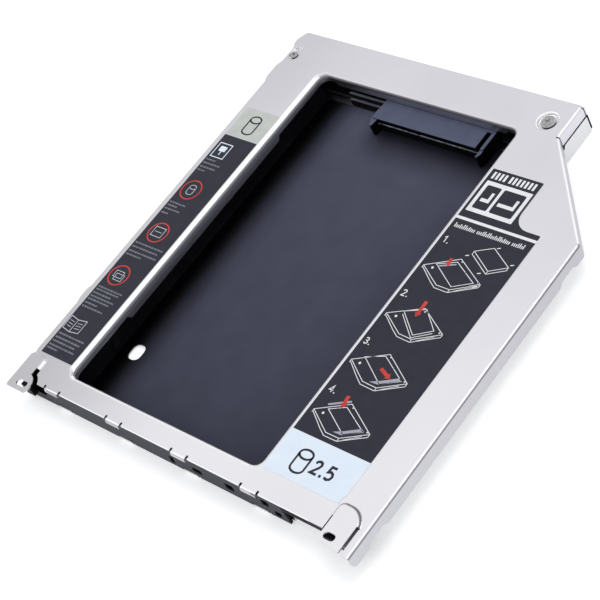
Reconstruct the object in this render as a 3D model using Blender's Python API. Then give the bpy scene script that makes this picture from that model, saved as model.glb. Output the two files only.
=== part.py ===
"""Laptop drive caddy: a tray that holds a 2.5 inch drive in the bay of a slim optical drive.

Measures are taken in the caddy's own grid: X runs right from the left side of the body, Y runs back
from the front edge of the cover, and Z runs up from the underside. One empty carries every piece and
moves that grid so that the middle of the finished outline stands on the world's origin.
"""
import math

import bmesh
import bpy
from mathutils import Vector
from mathutils.geometry import delaunay_2d_cdt

MM = 0.001

# Plan: margins round the window over the drive, and a thin wing to the right of the tall part
WINDOW_LEFT = 17.9 * MM
WINDOW_WIDTH = 71.4 * MM
RIGHT_MARGIN = 12.7 * MM
WING_WIDTH = 26.0 * MM
WINDOW_FRONT = 6.6 * MM
WINDOW_DEPTH = 116.2 * MM
REAR_MARGIN = 13.5 * MM
NOTCH_FROM_REAR = 12.1 * MM
CORNER_FROM_REAR = 41.3 * MM
CORNER_RADIUS = 1.5 * MM

# Heights
BODY_HEIGHT = 9.5 * MM
WING_HEIGHT = 4.4 * MM

# Sheet metal
SHEET = 0.5 * MM
BEND = 0.8 * MM
BEND_STEPS = 5
SEAM = 0.3 * MM
RELIEF = 0.6 * MM
NOTCH_SLIT = 0.12 * MM
CORNER_SLIT = 0.7 * MM
CORNER_GAP = 0.35 * MM
SIDE_FLANGE = 3.5 * MM
LOWER_WALL_PROUD = 0.25 * MM

# Gap that meeting pieces keep
FIT = 0.3 * MM

# Rolled edge of the window: deeper tabs in the middle of its long sides and along its rear
WINDOW_CORNER = 2.4 * MM
WINDOW_BEND = 1.15 * MM
WINDOW_LEFT_BEND = 1.9 * MM
WINDOW_LIP = 2.0 * MM
WINDOW_TAB = 3.5 * MM
WINDOW_TAB_INSET = 24.0 * MM
WINDOW_REAR_TAB_INSET = 5.0 * MM
TAB_SLOPE = 1.2 * MM

# Hook pairs along the front edge: the cover's bend down, the tray's bend up
HOOK_COUNT = 4
HOOK_FIRST = 13.0 * MM
HOOK_LAST = 7.9 * MM
HOOK_WIDTH = 5.2 * MM
HOOK_BEND = 0.6 * MM
HOOK_DROP = 1.3 * MM
HOOK_REACH = 0.55 * MM
HOOK_SLIT = 0.7 * MM
HOOK_SLIT_DEPTH = 1.0 * MM
TRAY_HOOK_RISE = 1.4 * MM
TRAY_HOOK_FRONT = 0.0 * MM
TRAY_FRONT = 1.4 * MM

# Raised ears at the two front corners
EAR_RISE = 0.6 * MM
EAR_REACH = 4.1 * MM
EAR_HOLE_LENGTH = 4.2 * MM
EAR_HOLE_WIDTH = 2.0 * MM
LEFT_EAR_WIDTH = 6.0 * MM
LEFT_EAR_BACK = 7.2 * MM
LEFT_EAR_RAMP = 1.2 * MM
LEFT_EAR_HOLE = (5.3 * MM, -1.8 * MM)
LEFT_EAR_RADIUS = 3.4 * MM
LEFT_EAR_GAP = 1.2 * MM
LEFT_EAR_LIP = 1.6 * MM
LEFT_SLIT_BACK = 3.9 * MM
EAR_CORNER = 1.2 * MM
RIGHT_EAR_MARGIN = 2.9 * MM
RIGHT_EAR_WIDTH = 7.7 * MM
RIGHT_EAR_BACK = 7.4 * MM
RIGHT_EAR_RAMP = 0.8 * MM
RIGHT_EAR_REACH = 3.2 * MM
RIGHT_EAR_ARC = 5.0 * MM
RIGHT_EAR_NOSE = 1.9 * MM
RIGHT_EAR_HOLE_IN = 2.8 * MM
RIGHT_EAR_HOLE_OUT = 1.4 * MM
RIGHT_HOLE_LENGTH = 3.6 * MM
RIGHT_SLIT_BACK = 3.8 * MM
RIGHT_SLIT = 0.55 * MM
RAMP_STEPS = 4
WING_FRONT_INSET = 1.3 * MM

# Side flanges: shallow bays on the right, and proud tabs on the left as (start, length, height)
WING_BAY_RISE = 1.2 * MM
WING_BAY_LENGTH = 4.6 * MM
WING_FRONT_BAY = 3.6 * MM
WING_REAR_BAY = 9.6 * MM
WING_BAY_SLOPE = 1.6 * MM
WING_NOSE = 1.6 * MM
SIDE_TAB_SLOPE = 2.4 * MM
SIDE_TAB_STEPS = 4
FRONT_SIDE_TAB = (26.4 * MM, 7.4 * MM, 0.5 * MM)
REAR_SIDE_TABS = ((21.6 * MM, 9.2 * MM, 0.8 * MM), (7.2 * MM, 6.0 * MM, 1.0 * MM))

# Cover screws, their dimples and the posts they enter; places count from the rear corners
RIGHT_SCREW_IN = (6.5 * MM, 8.0 * MM)
RIGHT_DIMPLE_RADIUS = 3.3 * MM
RIGHT_DIMPLE_SLOPE = 0.75 * MM
RIGHT_DIMPLE_DEPTH = 0.9 * MM
RIGHT_HEAD_RADIUS = 2.15 * MM
LEFT_SCREW_IN = (2.7 * MM, 9.5 * MM)
LEFT_DIMPLE_IN = (2.85 * MM, 8.9 * MM)
LEFT_DIMPLE_RADIUS = 1.85 * MM
LEFT_DIMPLE_STRETCH = 1.6 * MM
LEFT_DIMPLE_SLOPE = 0.25 * MM
LEFT_DIMPLE_DEPTH = 0.6 * MM
LEFT_HEAD_RADIUS = 1.2 * MM
HEAD_HEIGHT = 0.5 * MM
SCREW_RADIUS = 0.7 * MM
SCREW_LENGTH = 5.0 * MM
POST_WALL = 0.8 * MM
HEAD_DISH = 0.12 * MM
CROSS_WIDTH = 0.36 * MM
CROSS_DEPTH = 0.3 * MM
CROSS_ARM = 0.34

# Mouldings between the two sheets
BAR_DEPTH = 5.4 * MM
BAR_FRONT = 0.25 * MM
BAR_EAR_HEIGHT = 3.5 * MM
BAR_EAR_WIDTH = 9.0 * MM
BAR_EAR_SLOPE = 5.0 * MM
BAR_POCKETS = 8
BAR_POCKET_DEPTH = 2.6 * MM
EAR_BLOCK_WIDTH = 4.0 * MM
EAR_BLOCK_HEIGHT = 6.0 * MM
EAR_BLOCK_REACH = 0.9 * MM
MOULD_WALL = 1.4 * MM
MOULD_FLOOR = 1.2 * MM
RAIL_POCKETS = 6
POCKET_CORNER = 0.5 * MM
RAIL_CLEAR = 0.4 * MM
RAIL_CHAMFER = 0.6
PEG_RADIUS = 1.2 * MM
PEG_HEIGHT = 3.5 * MM
PEG_FROM_FRONT = 22.3 * MM
PEG_FROM_REAR = 29.8 * MM
WING_POCKETS = 4
WING_SKIN = 0.9 * MM
EAR_SUPPORT_REACH = 1.5 * MM

# Slots in the front bar by hook: place beside the hook's middle, level of the middle, width, height
BAR_SLOTS = (
    (),
    (),
    ((-6.4 * MM, 2.9 * MM, 2.5 * MM, 3.6 * MM), (3.5 * MM, 3.7 * MM, 4.4 * MM, 2.5 * MM)),
    ((-9.9 * MM, 3.8 * MM, 3.9 * MM, 3.1 * MM), (3.3 * MM, 5.2 * MM, 3.4 * MM, 2.8 * MM),
     (6.5 * MM, 2.3 * MM, 3.2 * MM, 2.5 * MM)),
)
SLOT_LEAN = 0.8 * MM
SLOT_CORNER = 0.5 * MM

# Film on the floor of the bay and the hole through film and tray
FILM = 0.2 * MM
FLOOR_HOLE_IN = (4.9 * MM, 17.1 * MM)
FLOOR_HOLE_WIDTH = 4.6 * MM
FLOOR_HOLE_LENGTH = 5.3 * MM
FLOOR_HOLE_CORNER = 1.9 * MM

# Adapter board and its holder; the holder's stepped edge shows left of the socket
HOLDER_IN = 1.5 * MM
HOLDER_STEP = 0.8 * MM
HOLDER_STEP_WIDTH = 14.0 * MM
HOLDER_LEDGE = 3.3 * MM
HOLDER_EDGE = 5.0 * MM
HOLDER_CORNER = 4.0 * MM
BOARD_LEFT_IN = 6.6 * MM
BOARD_RIGHT_OUT = 2.2 * MM
BOARD_REAR_IN = 1.5 * MM
BOARD = 1.0 * MM
BOARD_TOP = 3.6 * MM
BOARD_SCREW_IN = 6.5 * MM
BOARD_SCREW_REAR = 5.3 * MM
BOARD_SCREW_RADIUS = 0.8 * MM
BOARD_HEAD_RADIUS = 1.7 * MM
BOARD_HEAD_HEIGHT = 0.8 * MM

# Socket that the drive plugs into: 7 data and 15 power contacts
SOCKET_END = 5.02 * MM
SOCKET_FROM_RIGHT = 8.3 * MM
SOCKET_IN = 7.0 * MM
SOCKET_TOP = 6.0 * MM
SOCKET_LEDGE = 0.9 * MM
SOCKET_GUIDE = 2.6 * MM
SOCKET_GUIDE_WIDTH = 1.1 * MM
SOCKET_GUIDE_FOOT = 3.4 * MM
SOCKET_GROOVE = 1.6 * MM
MOUTH_BOTTOM = 4.1 * MM
MOUTH_HEIGHT = 1.2 * MM
MOUTH_DEPTH = 4.6 * MM
MOUTH_END = 1.1 * MM
MOUTH_KEY = 0.9 * MM
CONTACT_PITCH = 1.27 * MM
CONTACT_WIDTH = 0.45 * MM
CONTACT = 0.2 * MM
CONTACT_ROOM = 0.2 * MM
CONTACT_INSET = 0.7 * MM
CONTACT_TAIL = 1.3 * MM
DATA_CONTACTS = 7
DATA_IN = 3.4 * MM
POWER_CONTACTS = 15
POWER_IN = 17.2 * MM

# Plug at the rear that meets the laptop: 7 data and 6 power contacts
PLUG_WIDTH = 24.4 * MM
PLUG_FROM_RIGHT = 0.9 * MM
PLUG_DEPTH = 5.4 * MM
PLUG_INSET = 0.3 * MM
PLUG_BOTTOM = 1.2 * MM
PLUG_TOP = 6.1 * MM
PLUG_WALL = 0.9 * MM
PLUG_BACK_WALL = 1.1 * MM
PLUG_TONGUE = 0.9 * MM
PLUG_LEDGE = 0.9 * MM
PLUG_DATA_CONTACTS = 7
PLUG_DATA_IN = 3.0 * MM
PLUG_POWER_CONTACTS = 6
PLUG_POWER_IN = 14.9 * MM
PLUG_POWER_PITCH = 1.2 * MM

# Capacitors on the board: width, depth and height, and how far left of the plug each one starts
CAPACITOR = (3.2 * MM, 1.8 * MM, 1.4 * MM)
CAPACITOR_PLACES = (19.0 * MM, 13.0 * MM)

# Printed labels
LABEL = 0.15 * MM
LABEL_GAP = 0.2 * MM
LEFT_LABEL_SIDE = 2.0 * MM
LEFT_LABEL_WIDTH = 13.2 * MM
LEFT_LABEL_FRONT = 9.2 * MM
LEFT_LABEL_REAR = 31.8 * MM
RIGHT_LABEL_SIDE = 0.15 * MM
RIGHT_LABEL_MARGIN = 11.2 * MM
RIGHT_LABEL_FRONT = 7.0 * MM
RIGHT_LABEL_REAR = 1.2 * MM
RIGHT_LABEL_TAB_IN = 9.4 * MM
RIGHT_LABEL_TAB_DEPTH = 15.4 * MM
RIGHT_LABEL_COVE = 5.0 * MM
RIGHT_LABEL_CLIP = 1.0 * MM
LABEL_CORNER = 0.6 * MM

# Levels and places that follow from the sizes above
WINDOW_RIGHT = WINDOW_LEFT + WINDOW_WIDTH
WINDOW_REAR = WINDOW_FRONT + WINDOW_DEPTH
TALL_WIDTH = WINDOW_RIGHT + RIGHT_MARGIN
BODY_WIDTH = TALL_WIDTH + WING_WIDTH
BODY_DEPTH = WINDOW_REAR + REAR_MARGIN
NOTCH_Y = BODY_DEPTH - NOTCH_FROM_REAR
CORNER_Y = BODY_DEPTH - CORNER_FROM_REAR
STEP_X = TALL_WIDTH + LOWER_WALL_PROUD
COVER_UNDER = BODY_HEIGHT - SHEET
MOULD_TOP = COVER_UNDER - FIT
MOULD_BOTTOM = SHEET + FIT
FILM_TOP = MOULD_BOTTOM + FILM
WING_FLOOR = BODY_HEIGHT - WING_HEIGHT
WING_MOULD_BOTTOM = WING_FLOOR + SHEET + FIT
TRAY_WALL_TOP = BODY_HEIGHT - SIDE_FLANGE - SEAM
TRAY_EAR_WALL_TOP = BODY_HEIGHT + EAR_RISE - LEFT_EAR_LIP - SEAM
WING_EDGE = SHEET + FIT
INNER_LEFT = SHEET + FIT
INNER_RIGHT = TALL_WIDTH - SHEET - FIT
INNER_REAR = BODY_DEPTH - SHEET - FIT
SIDE_END = BODY_DEPTH - BEND - RELIEF / 2
SIDE_REACH = BODY_DEPTH - SHEET - CORNER_GAP
REAR_RIGHT_END = TALL_WIDTH - BEND - CORNER_SLIT
REAR_LEFT_END = BEND + RELIEF / 2
HOOK_PITCH = (TALL_WIDTH - HOOK_FIRST - HOOK_LAST - HOOK_WIDTH) / (HOOK_COUNT - 1)
EAR_FLANGE_END = LEFT_EAR_BACK + LEFT_EAR_RAMP + RELIEF
RIGHT_EAR_LEFT = BODY_WIDTH - RIGHT_EAR_MARGIN - RIGHT_EAR_WIDTH
RIGHT_EAR_HOLE = (RIGHT_EAR_LEFT + RIGHT_EAR_HOLE_IN, -RIGHT_EAR_HOLE_OUT)
RIGHT_SCREW = (TALL_WIDTH - RIGHT_SCREW_IN[0], BODY_DEPTH - RIGHT_SCREW_IN[1])
LEFT_SCREW = (LEFT_SCREW_IN[0], BODY_DEPTH - LEFT_SCREW_IN[1])
LEFT_DIMPLE = (LEFT_DIMPLE_IN[0], BODY_DEPTH - LEFT_DIMPLE_IN[1])
BAR_REAR = BAR_FRONT + BAR_DEPTH
RAIL_FACE = WINDOW_LEFT - SHEET - RAIL_CLEAR
FRAME_FACE = WINDOW_RIGHT + SHEET + RAIL_CLEAR
HOLDER_FRONT = WINDOW_REAR - HOLDER_IN
MOULD_REAR = HOLDER_FRONT - FIT
FLOOR_HOLE = (WINDOW_LEFT + FLOOR_HOLE_IN[0], WINDOW_FRONT + FLOOR_HOLE_IN[1])
BOARD_LEFT = WINDOW_LEFT + BOARD_LEFT_IN
BOARD_RIGHT = WINDOW_RIGHT + BOARD_RIGHT_OUT
BOARD_FRONT = HOLDER_FRONT + 2 * HOLDER_STEP + FIT
BOARD_REAR = BODY_DEPTH - BOARD_REAR_IN
BOARD_UNDER = BOARD_TOP - BOARD
ON_BOARD = BOARD_TOP + FIT
SOCKET_WIDTH = POWER_IN + (POWER_CONTACTS - 1) * CONTACT_PITCH + SOCKET_END
SOCKET_RIGHT = WINDOW_RIGHT - SOCKET_FROM_RIGHT
SOCKET_LEFT = SOCKET_RIGHT - SOCKET_WIDTH
SOCKET_FRONT = WINDOW_REAR - SOCKET_IN
SOCKET_REAR = BOARD_FRONT - FIT
WINDOW_REAR_TAB = BODY_HEIGHT - SOCKET_TOP - FIT
DATA_FIRST = SOCKET_LEFT + DATA_IN
POWER_FIRST = SOCKET_LEFT + POWER_IN
PLUG_RIGHT = WINDOW_RIGHT - PLUG_FROM_RIGHT
PLUG_LEFT = PLUG_RIGHT - PLUG_WIDTH
PLUG_REAR = BODY_DEPTH - PLUG_INSET
PLUG_FRONT = PLUG_REAR - PLUG_DEPTH
PLUG_DATA_FIRST = PLUG_LEFT + PLUG_DATA_IN
PLUG_POWER_FIRST = PLUG_LEFT + PLUG_POWER_IN
TONGUE_BOTTOM = (PLUG_BOTTOM + PLUG_TOP - PLUG_TONGUE) / 2
BOARD_SCREWS = ((BOARD_LEFT + BOARD_SCREW_IN, BODY_DEPTH - BOARD_SCREW_REAR),
                (PLUG_LEFT - BOARD_SCREW_IN, BODY_DEPTH - BOARD_SCREW_REAR))

ROOT = None


# Outlines in plan

def arc(centre, radius, start, end, steps):
    """Points on an arc from one angle to the other, in degrees, both ends included."""
    points = []
    for step in range(steps + 1):
        angle = math.radians(start + (end - start) * step / steps)
        points.append((centre[0] + radius * math.cos(angle), centre[1] + radius * math.sin(angle)))
    return points


def rounded(corners, closed=True, steps=4):
    """Polyline through corners given as (x, y, radius), with each radius cut as an arc."""
    points = []
    last = len(corners) - 1
    for i, (x, y, radius) in enumerate(corners):
        if radius <= 0 or (not closed and i in (0, last)):
            points.append((x, y))
            continue
        here = Vector((x, y))
        before = (Vector(corners[i - 1][:2]) - here).normalized()
        after = (Vector(corners[(i + 1) % len(corners)][:2]) - here).normalized()
        half = before.angle(after) / 2
        centre = here + (before + after).normalized() * radius / math.sin(half)
        first = here + before * radius / math.tan(half) - centre
        second = here + after * radius / math.tan(half) - centre
        turn = first.angle_signed(second)
        for step in range(steps + 1):
            angle = -turn * step / steps
            spoke = Vector((first.x * math.cos(angle) - first.y * math.sin(angle),
                            first.x * math.sin(angle) + first.y * math.cos(angle)))
            points.append(tuple(centre + spoke))
    return points


def rectangle(x0, y0, x1, y1, radius=0.0, steps=4):
    return rounded([(x0, y0, radius), (x1, y0, radius), (x1, y1, radius), (x0, y1, radius)], True, steps)


def obround(centre, width, length, steps=6):
    """Slot with round ends, its length along X."""
    x, y = centre
    radius = width / 2
    reach = length / 2 - radius
    return arc((x + reach, y), radius, -90, 90, steps) + arc((x - reach, y), radius, 90, 270, steps)


def shifted(path, distance, closed):
    """Path moved to its left by a distance, or by one distance for each point, with true corners."""
    count = len(path)
    moved = []
    for i, point in enumerate(path):
        here = Vector(point)
        normals = []
        for a, b in ((i - 1, i), (i, i + 1)):
            if not closed and (a < 0 or b >= count):
                continue
            along = Vector(path[b % count]) - Vector(path[a])
            if along.length > 1e-9:
                along.normalize()
                normals.append(Vector((-along.y, along.x)))
        mean = sum(normals, Vector((0, 0))).normalized()
        amount = distance[i] if isinstance(distance, list) else distance
        moved.append(tuple(here + mean * amount / mean.dot(normals[0])))
    return moved


def soft(share):
    """Share from 0 to 1 that starts and ends level."""
    return share * share * (3 - 2 * share)


def covers(points, edges, x, y):
    """Whether a place lies inside the outline and outside its holes."""
    inside = False
    for a, b in edges:
        (ax, ay), (bx, by) = points[a], points[b]
        if (ay > y) != (by > y) and x < ax + (y - ay) / (by - ay) * (bx - ax):
            inside = not inside
    return inside


def triangles(loops):
    """Triangles over an outline and round its holes, as places in the loops' points in one row."""
    points, edges = [], []
    for loop in loops:
        start = len(points)
        points += [Vector(point[:2]) for point in loop]
        edges += [(start + i, start + (i + 1) % len(loop)) for i in range(len(loop))]
    verts, _, faces, origins = delaunay_2d_cdt(points, edges, [], 0, 1e-9)[:4]
    kept = []
    for face in faces:
        middle = sum((verts[i] for i in face), Vector((0, 0))) / len(face)
        if covers(points, edges, middle.x, middle.y):
            kept.append([origins[i][0] for i in face])
    return kept


# Building blocks

def material(name, colour, roughness, metallic=0.0):
    """Plain surface with one colour."""
    found = bpy.data.materials.get(name)
    if found:
        return found
    made = bpy.data.materials.new(name)
    made.use_nodes = True
    shader = made.node_tree.nodes["Principled BSDF"]
    shader.inputs["Base Color"].default_value = (*colour, 1.0)
    shader.inputs["Roughness"].default_value = roughness
    shader.inputs["Metallic"].default_value = metallic
    return made


def satin_metal():
    return material("satin_metal", (0.69, 0.69, 0.72), 0.32, 1.0)


def black_moulding():
    return material("black_moulding", (0.035, 0.036, 0.042), 0.5)


def contact_metal():
    return material("contact_metal", (0.83, 0.68, 0.38), 0.3, 1.0)


def bright_steel():
    return material("bright_steel", (0.62, 0.62, 0.64), 0.3, 1.0)


def link(name, mesh, surface):
    """New object for a mesh, carried by the caddy's grid."""
    item = bpy.data.objects.new(name, mesh)
    bpy.context.scene.collection.objects.link(item)
    item.parent = ROOT
    if surface:
        mesh.materials.append(surface)
    return item


def finish(name, shape, surface):
    """Object from a closed bmesh."""
    bmesh.ops.recalc_face_normals(shape, faces=shape.faces)
    mesh = bpy.data.meshes.new(name)
    shape.to_mesh(mesh)
    shape.free()
    return link(name, mesh, surface)


def add_prism(shape, loops, low, high, place):
    """Closed body between two levels; place turns (a, b, level) into a point."""
    rings = []
    for level in (low, high):
        rings.append([[shape.verts.new(place(a, b, level)) for a, b in loop] for loop in loops])
    for ring in rings:
        if len(loops) == 1:
            shape.faces.new(ring[0])
            continue
        verts = [vert for loop in ring for vert in loop]
        for corner in triangles(loops):
            shape.faces.new([verts[i] for i in corner])
    for bottom, top in zip(*rings):
        for i in range(len(bottom)):
            k = (i + 1) % len(bottom)
            shape.faces.new((bottom[i], bottom[k], top[k], top[i]))


def from_above(a, b, level):
    return (a, b, level)


def from_front(a, b, level):
    return (a, level, b)


def from_side(a, b, level):
    return (level, a, b)


def prism(name, loops, low, high, surface, place=from_above):
    shape = bmesh.new()
    add_prism(shape, loops, low, high, place)
    return finish(name, shape, surface)


def add_box(shape, x0, x1, y0, y1, z0, z1):
    add_prism(shape, [rectangle(x0, y0, x1, y1)], z0, z1, from_above)


def add_turned(shape, centre, profile, steps=20):
    """Closed turned body; the profile runs from the axis at the bottom to the axis at the top."""
    x, y = centre
    rings = []
    for radius, level in profile:
        if radius == 0:
            rings.append([shape.verts.new((x, y, level))])
            continue
        rings.append([shape.verts.new((x + radius * math.cos(2 * math.pi * i / steps),
                                       y + radius * math.sin(2 * math.pi * i / steps), level))
                      for i in range(steps)])
    for lower, upper in zip(rings, rings[1:]):
        for i in range(steps):
            k = (i + 1) % steps
            if len(lower) == 1:
                shape.faces.new((lower[0], upper[k], upper[i]))
            elif len(upper) == 1:
                shape.faces.new((lower[i], lower[k], upper[0]))
            else:
                shape.faces.new((lower[i], lower[k], upper[k], upper[i]))


def combine(target, tool, operation):
    """Boolean modifier with a hidden tool object."""
    tool.hide_render = True
    tool.display_type = "WIRE"
    step = target.modifiers.new(tool.name, "BOOLEAN")
    step.operation = operation
    step.solver = "EXACT"
    step.object = tool


def smooth(item, angle=35):
    """Smooth shading with sharp edges kept, weighted so that large flat faces stay flat."""
    item.data.shade_smooth()
    item.data.set_sharp_from_angle(angle=math.radians(angle))
    weight = item.modifiers.new("weighted_normal", "WEIGHTED_NORMAL")
    weight.keep_sharp = True


class Sheet:
    """Outer skin of a folded metal sheet. Folds leave the flat part and turn down or up."""

    def __init__(self, rise):
        self.shape = bmesh.new()
        self.rise = rise

    def flat(self, loops, level):
        verts = [self.shape.verts.new((x, y, level)) for loop in loops for x, y in loop]
        for corner in triangles(loops):
            self.shape.faces.new([verts[i] for i in corner])

    def strip(self, rings, closed=False):
        made = [[self.shape.verts.new(point) for point in ring] for ring in rings]
        count = len(made[0])
        for lower, upper in zip(made, made[1:]):
            for i in range(count if closed else count - 1):
                k = (i + 1) % count
                self.shape.faces.new((lower[i], lower[k], upper[k], upper[i]))

    def fold(self, path, side, bend, reach, level, closed=False, steps=BEND_STEPS):
        """Bend and flange along a path on the flange's outer plane. Returns the flat part's edge.

        side is 1 where the flat part lies left of the path and -1 where it lies right of it. bend and
        reach are one value or one for each point, and reach is measured from the flat part's level.
        """
        count = len(path)
        bends = bend if isinstance(bend, list) else [bend] * count
        reaches = reach if isinstance(reach, list) else [reach] * count
        rings = []
        for step in range(steps + 1):
            angle = math.pi / 2 * step / steps
            inset = [side * size * (1 - math.sin(angle)) for size in bends]
            plan = shifted(path, inset, closed)
            rings.append([(x, y, level + self.rise * size * (1 - math.cos(angle)))
                          for (x, y), size in zip(plan, bends)])
        rings.append([(x, y, level + self.rise * size) for (x, y), size in zip(path, reaches)])
        self.strip(rings, closed)
        return [point[:2] for point in rings[0]]

    def ramp(self, upper, lower, top, bottom):
        """Soft slope between two edges with as many points each."""
        rings = []
        for step in range(RAMP_STEPS + 1):
            share = step / RAMP_STEPS
            level = top + (bottom - top) * soft(share)
            rings.append([(a[0] + (b[0] - a[0]) * share, a[1] + (b[1] - a[1]) * share, level)
                          for a, b in zip(upper, lower)])
        self.strip(rings)

    def finish(self, name, surface):
        """Joined and thickened sheet; the thickness goes away from the outer side."""
        bmesh.ops.remove_doubles(self.shape, verts=self.shape.verts, dist=1e-6)
        bmesh.ops.recalc_face_normals(self.shape, faces=self.shape.faces)
        self.shape.normal_update()
        widest = max(self.shape.faces, key=lambda face: face.calc_area())
        if widest.normal.z * self.rise > 0:
            bmesh.ops.reverse_faces(self.shape, faces=self.shape.faces)
        mesh = bpy.data.meshes.new(name)
        self.shape.to_mesh(mesh)
        self.shape.free()
        item = link(name, mesh, surface)
        thick = item.modifiers.new("sheet", "SOLIDIFY")
        thick.thickness = SHEET
        thick.offset = -1.0
        thick.use_even_offset = True
        thick.use_quality_normals = True
        return item


# Shared outlines

def hook_spans():
    """Left and right end of each hook along the front edge."""
    return [(HOOK_FIRST + i * HOOK_PITCH, HOOK_FIRST + i * HOOK_PITCH + HOOK_WIDTH)
            for i in range(HOOK_COUNT)]


def wing_path():
    """Outer plane of the right side and the diagonal, from the front to the notch."""
    diagonal = (Vector((TALL_WIDTH, NOTCH_Y)) - Vector((BODY_WIDTH, CORNER_Y))).normalized()
    end = Vector((TALL_WIDTH, NOTCH_Y)) - diagonal * NOTCH_SLIT
    corners = [(BODY_WIDTH, -EAR_REACH, 0.0), (BODY_WIDTH, CORNER_Y, CORNER_RADIUS), (end.x, end.y, 0.0)]
    return rounded(corners, closed=False)


def wing_bays():
    """Start of each shallow bay in the right side's flange."""
    return (WING_FRONT_BAY, CORNER_Y - WING_REAR_BAY)


def wing_stations():
    """The wing's path with points for its round nose and bays, and the flange's depth at each point."""
    path = wing_path()
    stations, reaches = [], []
    for step in range(5):
        angle = math.pi / 2 * step / 4
        stations.append((BODY_WIDTH, path[0][1] + WING_NOSE * (1 - math.cos(angle))))
        reaches.append(WING_HEIGHT - WING_NOSE * (1 - math.sin(angle)))
    shallow = WING_HEIGHT - WING_BAY_RISE
    for start in wing_bays():
        stop = start + WING_BAY_LENGTH
        stations += [(BODY_WIDTH, y) for y in (start - WING_BAY_SLOPE, start, stop, stop + WING_BAY_SLOPE)]
        reaches += [WING_HEIGHT, shallow, shallow, WING_HEIGHT]
    return stations + path[1:], reaches + [WING_HEIGHT] * (len(path) - 1)


def side_tabs():
    """Start, length and height of each proud tab on the left side, from the rear to the front."""
    rear = [(BODY_DEPTH - start, length, proud) for start, length, proud in REAR_SIDE_TABS]
    return sorted(rear + [FRONT_SIDE_TAB], reverse=True)


def side_path():
    """Outer plane of the left side from the rear to the ear, with its proud tabs."""
    points = [(0.0, BODY_DEPTH - BEND - RELIEF / 2)]
    shares = [step / SIDE_TAB_STEPS for step in range(SIDE_TAB_STEPS + 1)]
    for start, length, proud in side_tabs():
        rise = [(-proud * soft(share), share * SIDE_TAB_SLOPE) for share in shares]
        points += [(x, start + length - y) for x, y in rise] + [(x, start + y) for x, y in reversed(rise)]
    points.append((0.0, EAR_FLANGE_END))
    return points


def window_stations():
    """Window outline with points added where its deeper tabs begin and end."""
    x0, x1, y0, y1 = WINDOW_LEFT, WINDOW_RIGHT, WINDOW_FRONT, WINDOW_REAR
    front, rear = y0 + WINDOW_TAB_INSET, y1 - WINDOW_TAB_INSET
    left, right = x0 + WINDOW_REAR_TAB_INSET, x1 - WINDOW_REAR_TAB_INSET
    slope = TAB_SLOPE
    corner = WINDOW_CORNER
    plain = WINDOW_LIP
    deep, rear_deep = WINDOW_TAB, WINDOW_REAR_TAB
    marks = [
        (x0, y0, corner, plain), (x1, y0, corner, plain),
        (x1, front - slope, 0, plain), (x1, front, 0, deep),
        (x1, rear, 0, deep), (x1, rear + slope, 0, plain),
        (x1, y1, corner, plain),
        (right + slope, y1, 0, plain), (right, y1, 0, rear_deep),
        (left, y1, 0, rear_deep), (left - slope, y1, 0, plain),
        (x0, y1, corner, plain),
        (x0, rear + slope, 0, plain), (x0, rear, 0, deep),
        (x0, front, 0, deep), (x0, front - slope, 0, plain),
    ]
    path, reaches = [], []
    outline = [mark[:3] for mark in marks]
    for i, mark in enumerate(marks):
        here = rounded([outline[i - 1], mark[:3], outline[(i + 1) % len(marks)]], closed=False)
        here = here[1:-1]
        path += here
        reaches += [mark[3]] * len(here)
    return path, reaches


def window_bends(path):
    """Bend radius at each point: wide along the left side, small elsewhere, blended in the corners."""
    bends = []
    for x, y in path:
        share = min(max((x - WINDOW_LEFT) / WINDOW_CORNER, 0.0), 1.0)
        bends.append(WINDOW_LEFT_BEND + (WINDOW_BEND - WINDOW_LEFT_BEND) * share)
    return bends


def left_ear_edges():
    """Upper and lower edge of the ramp round the left ear, from the left side to the slit."""
    def edge(spread):
        x, y = LEFT_EAR_WIDTH + spread, LEFT_EAR_BACK + spread
        return rounded([(BEND, y, 0), (x, y, EAR_CORNER + spread), (x, LEFT_SLIT_BACK, 0)], closed=False)
    return edge(0.0), edge(LEFT_EAR_RAMP)


def right_ear_edges():
    """Upper and lower edge of the arched ramp behind the right ear, from left to right."""
    centre = (RIGHT_EAR_LEFT + RIGHT_EAR_WIDTH - RIGHT_EAR_ARC, RIGHT_EAR_BACK - RIGHT_EAR_ARC)
    inner = (RIGHT_EAR_LEFT + EAR_CORNER, RIGHT_EAR_BACK - EAR_CORNER)

    def edge(spread):
        radius = RIGHT_EAR_ARC + spread
        end = math.degrees(math.asin((RIGHT_SLIT_BACK - centre[1]) / radius))
        points = [(RIGHT_EAR_LEFT - spread, RIGHT_SLIT_BACK)]
        points += arc(inner, EAR_CORNER + spread, 180, 90, 4)
        return points + arc(centre, radius, 90, end, 8)
    return edge(0.0), edge(RIGHT_EAR_RAMP)


def ring_at(centre, radius, stretch, level, steps=24):
    """Round or stretched ring about a screw, its length along Y."""
    x, y = centre
    points = []
    for i in range(steps):
        angle = 2 * math.pi * (i + 0.5) / steps
        shift = math.copysign(stretch / 2, math.sin(angle))
        points.append((x + radius * math.cos(angle), y + radius * math.sin(angle) + shift, level))
    return points


# Sheet metal

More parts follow.
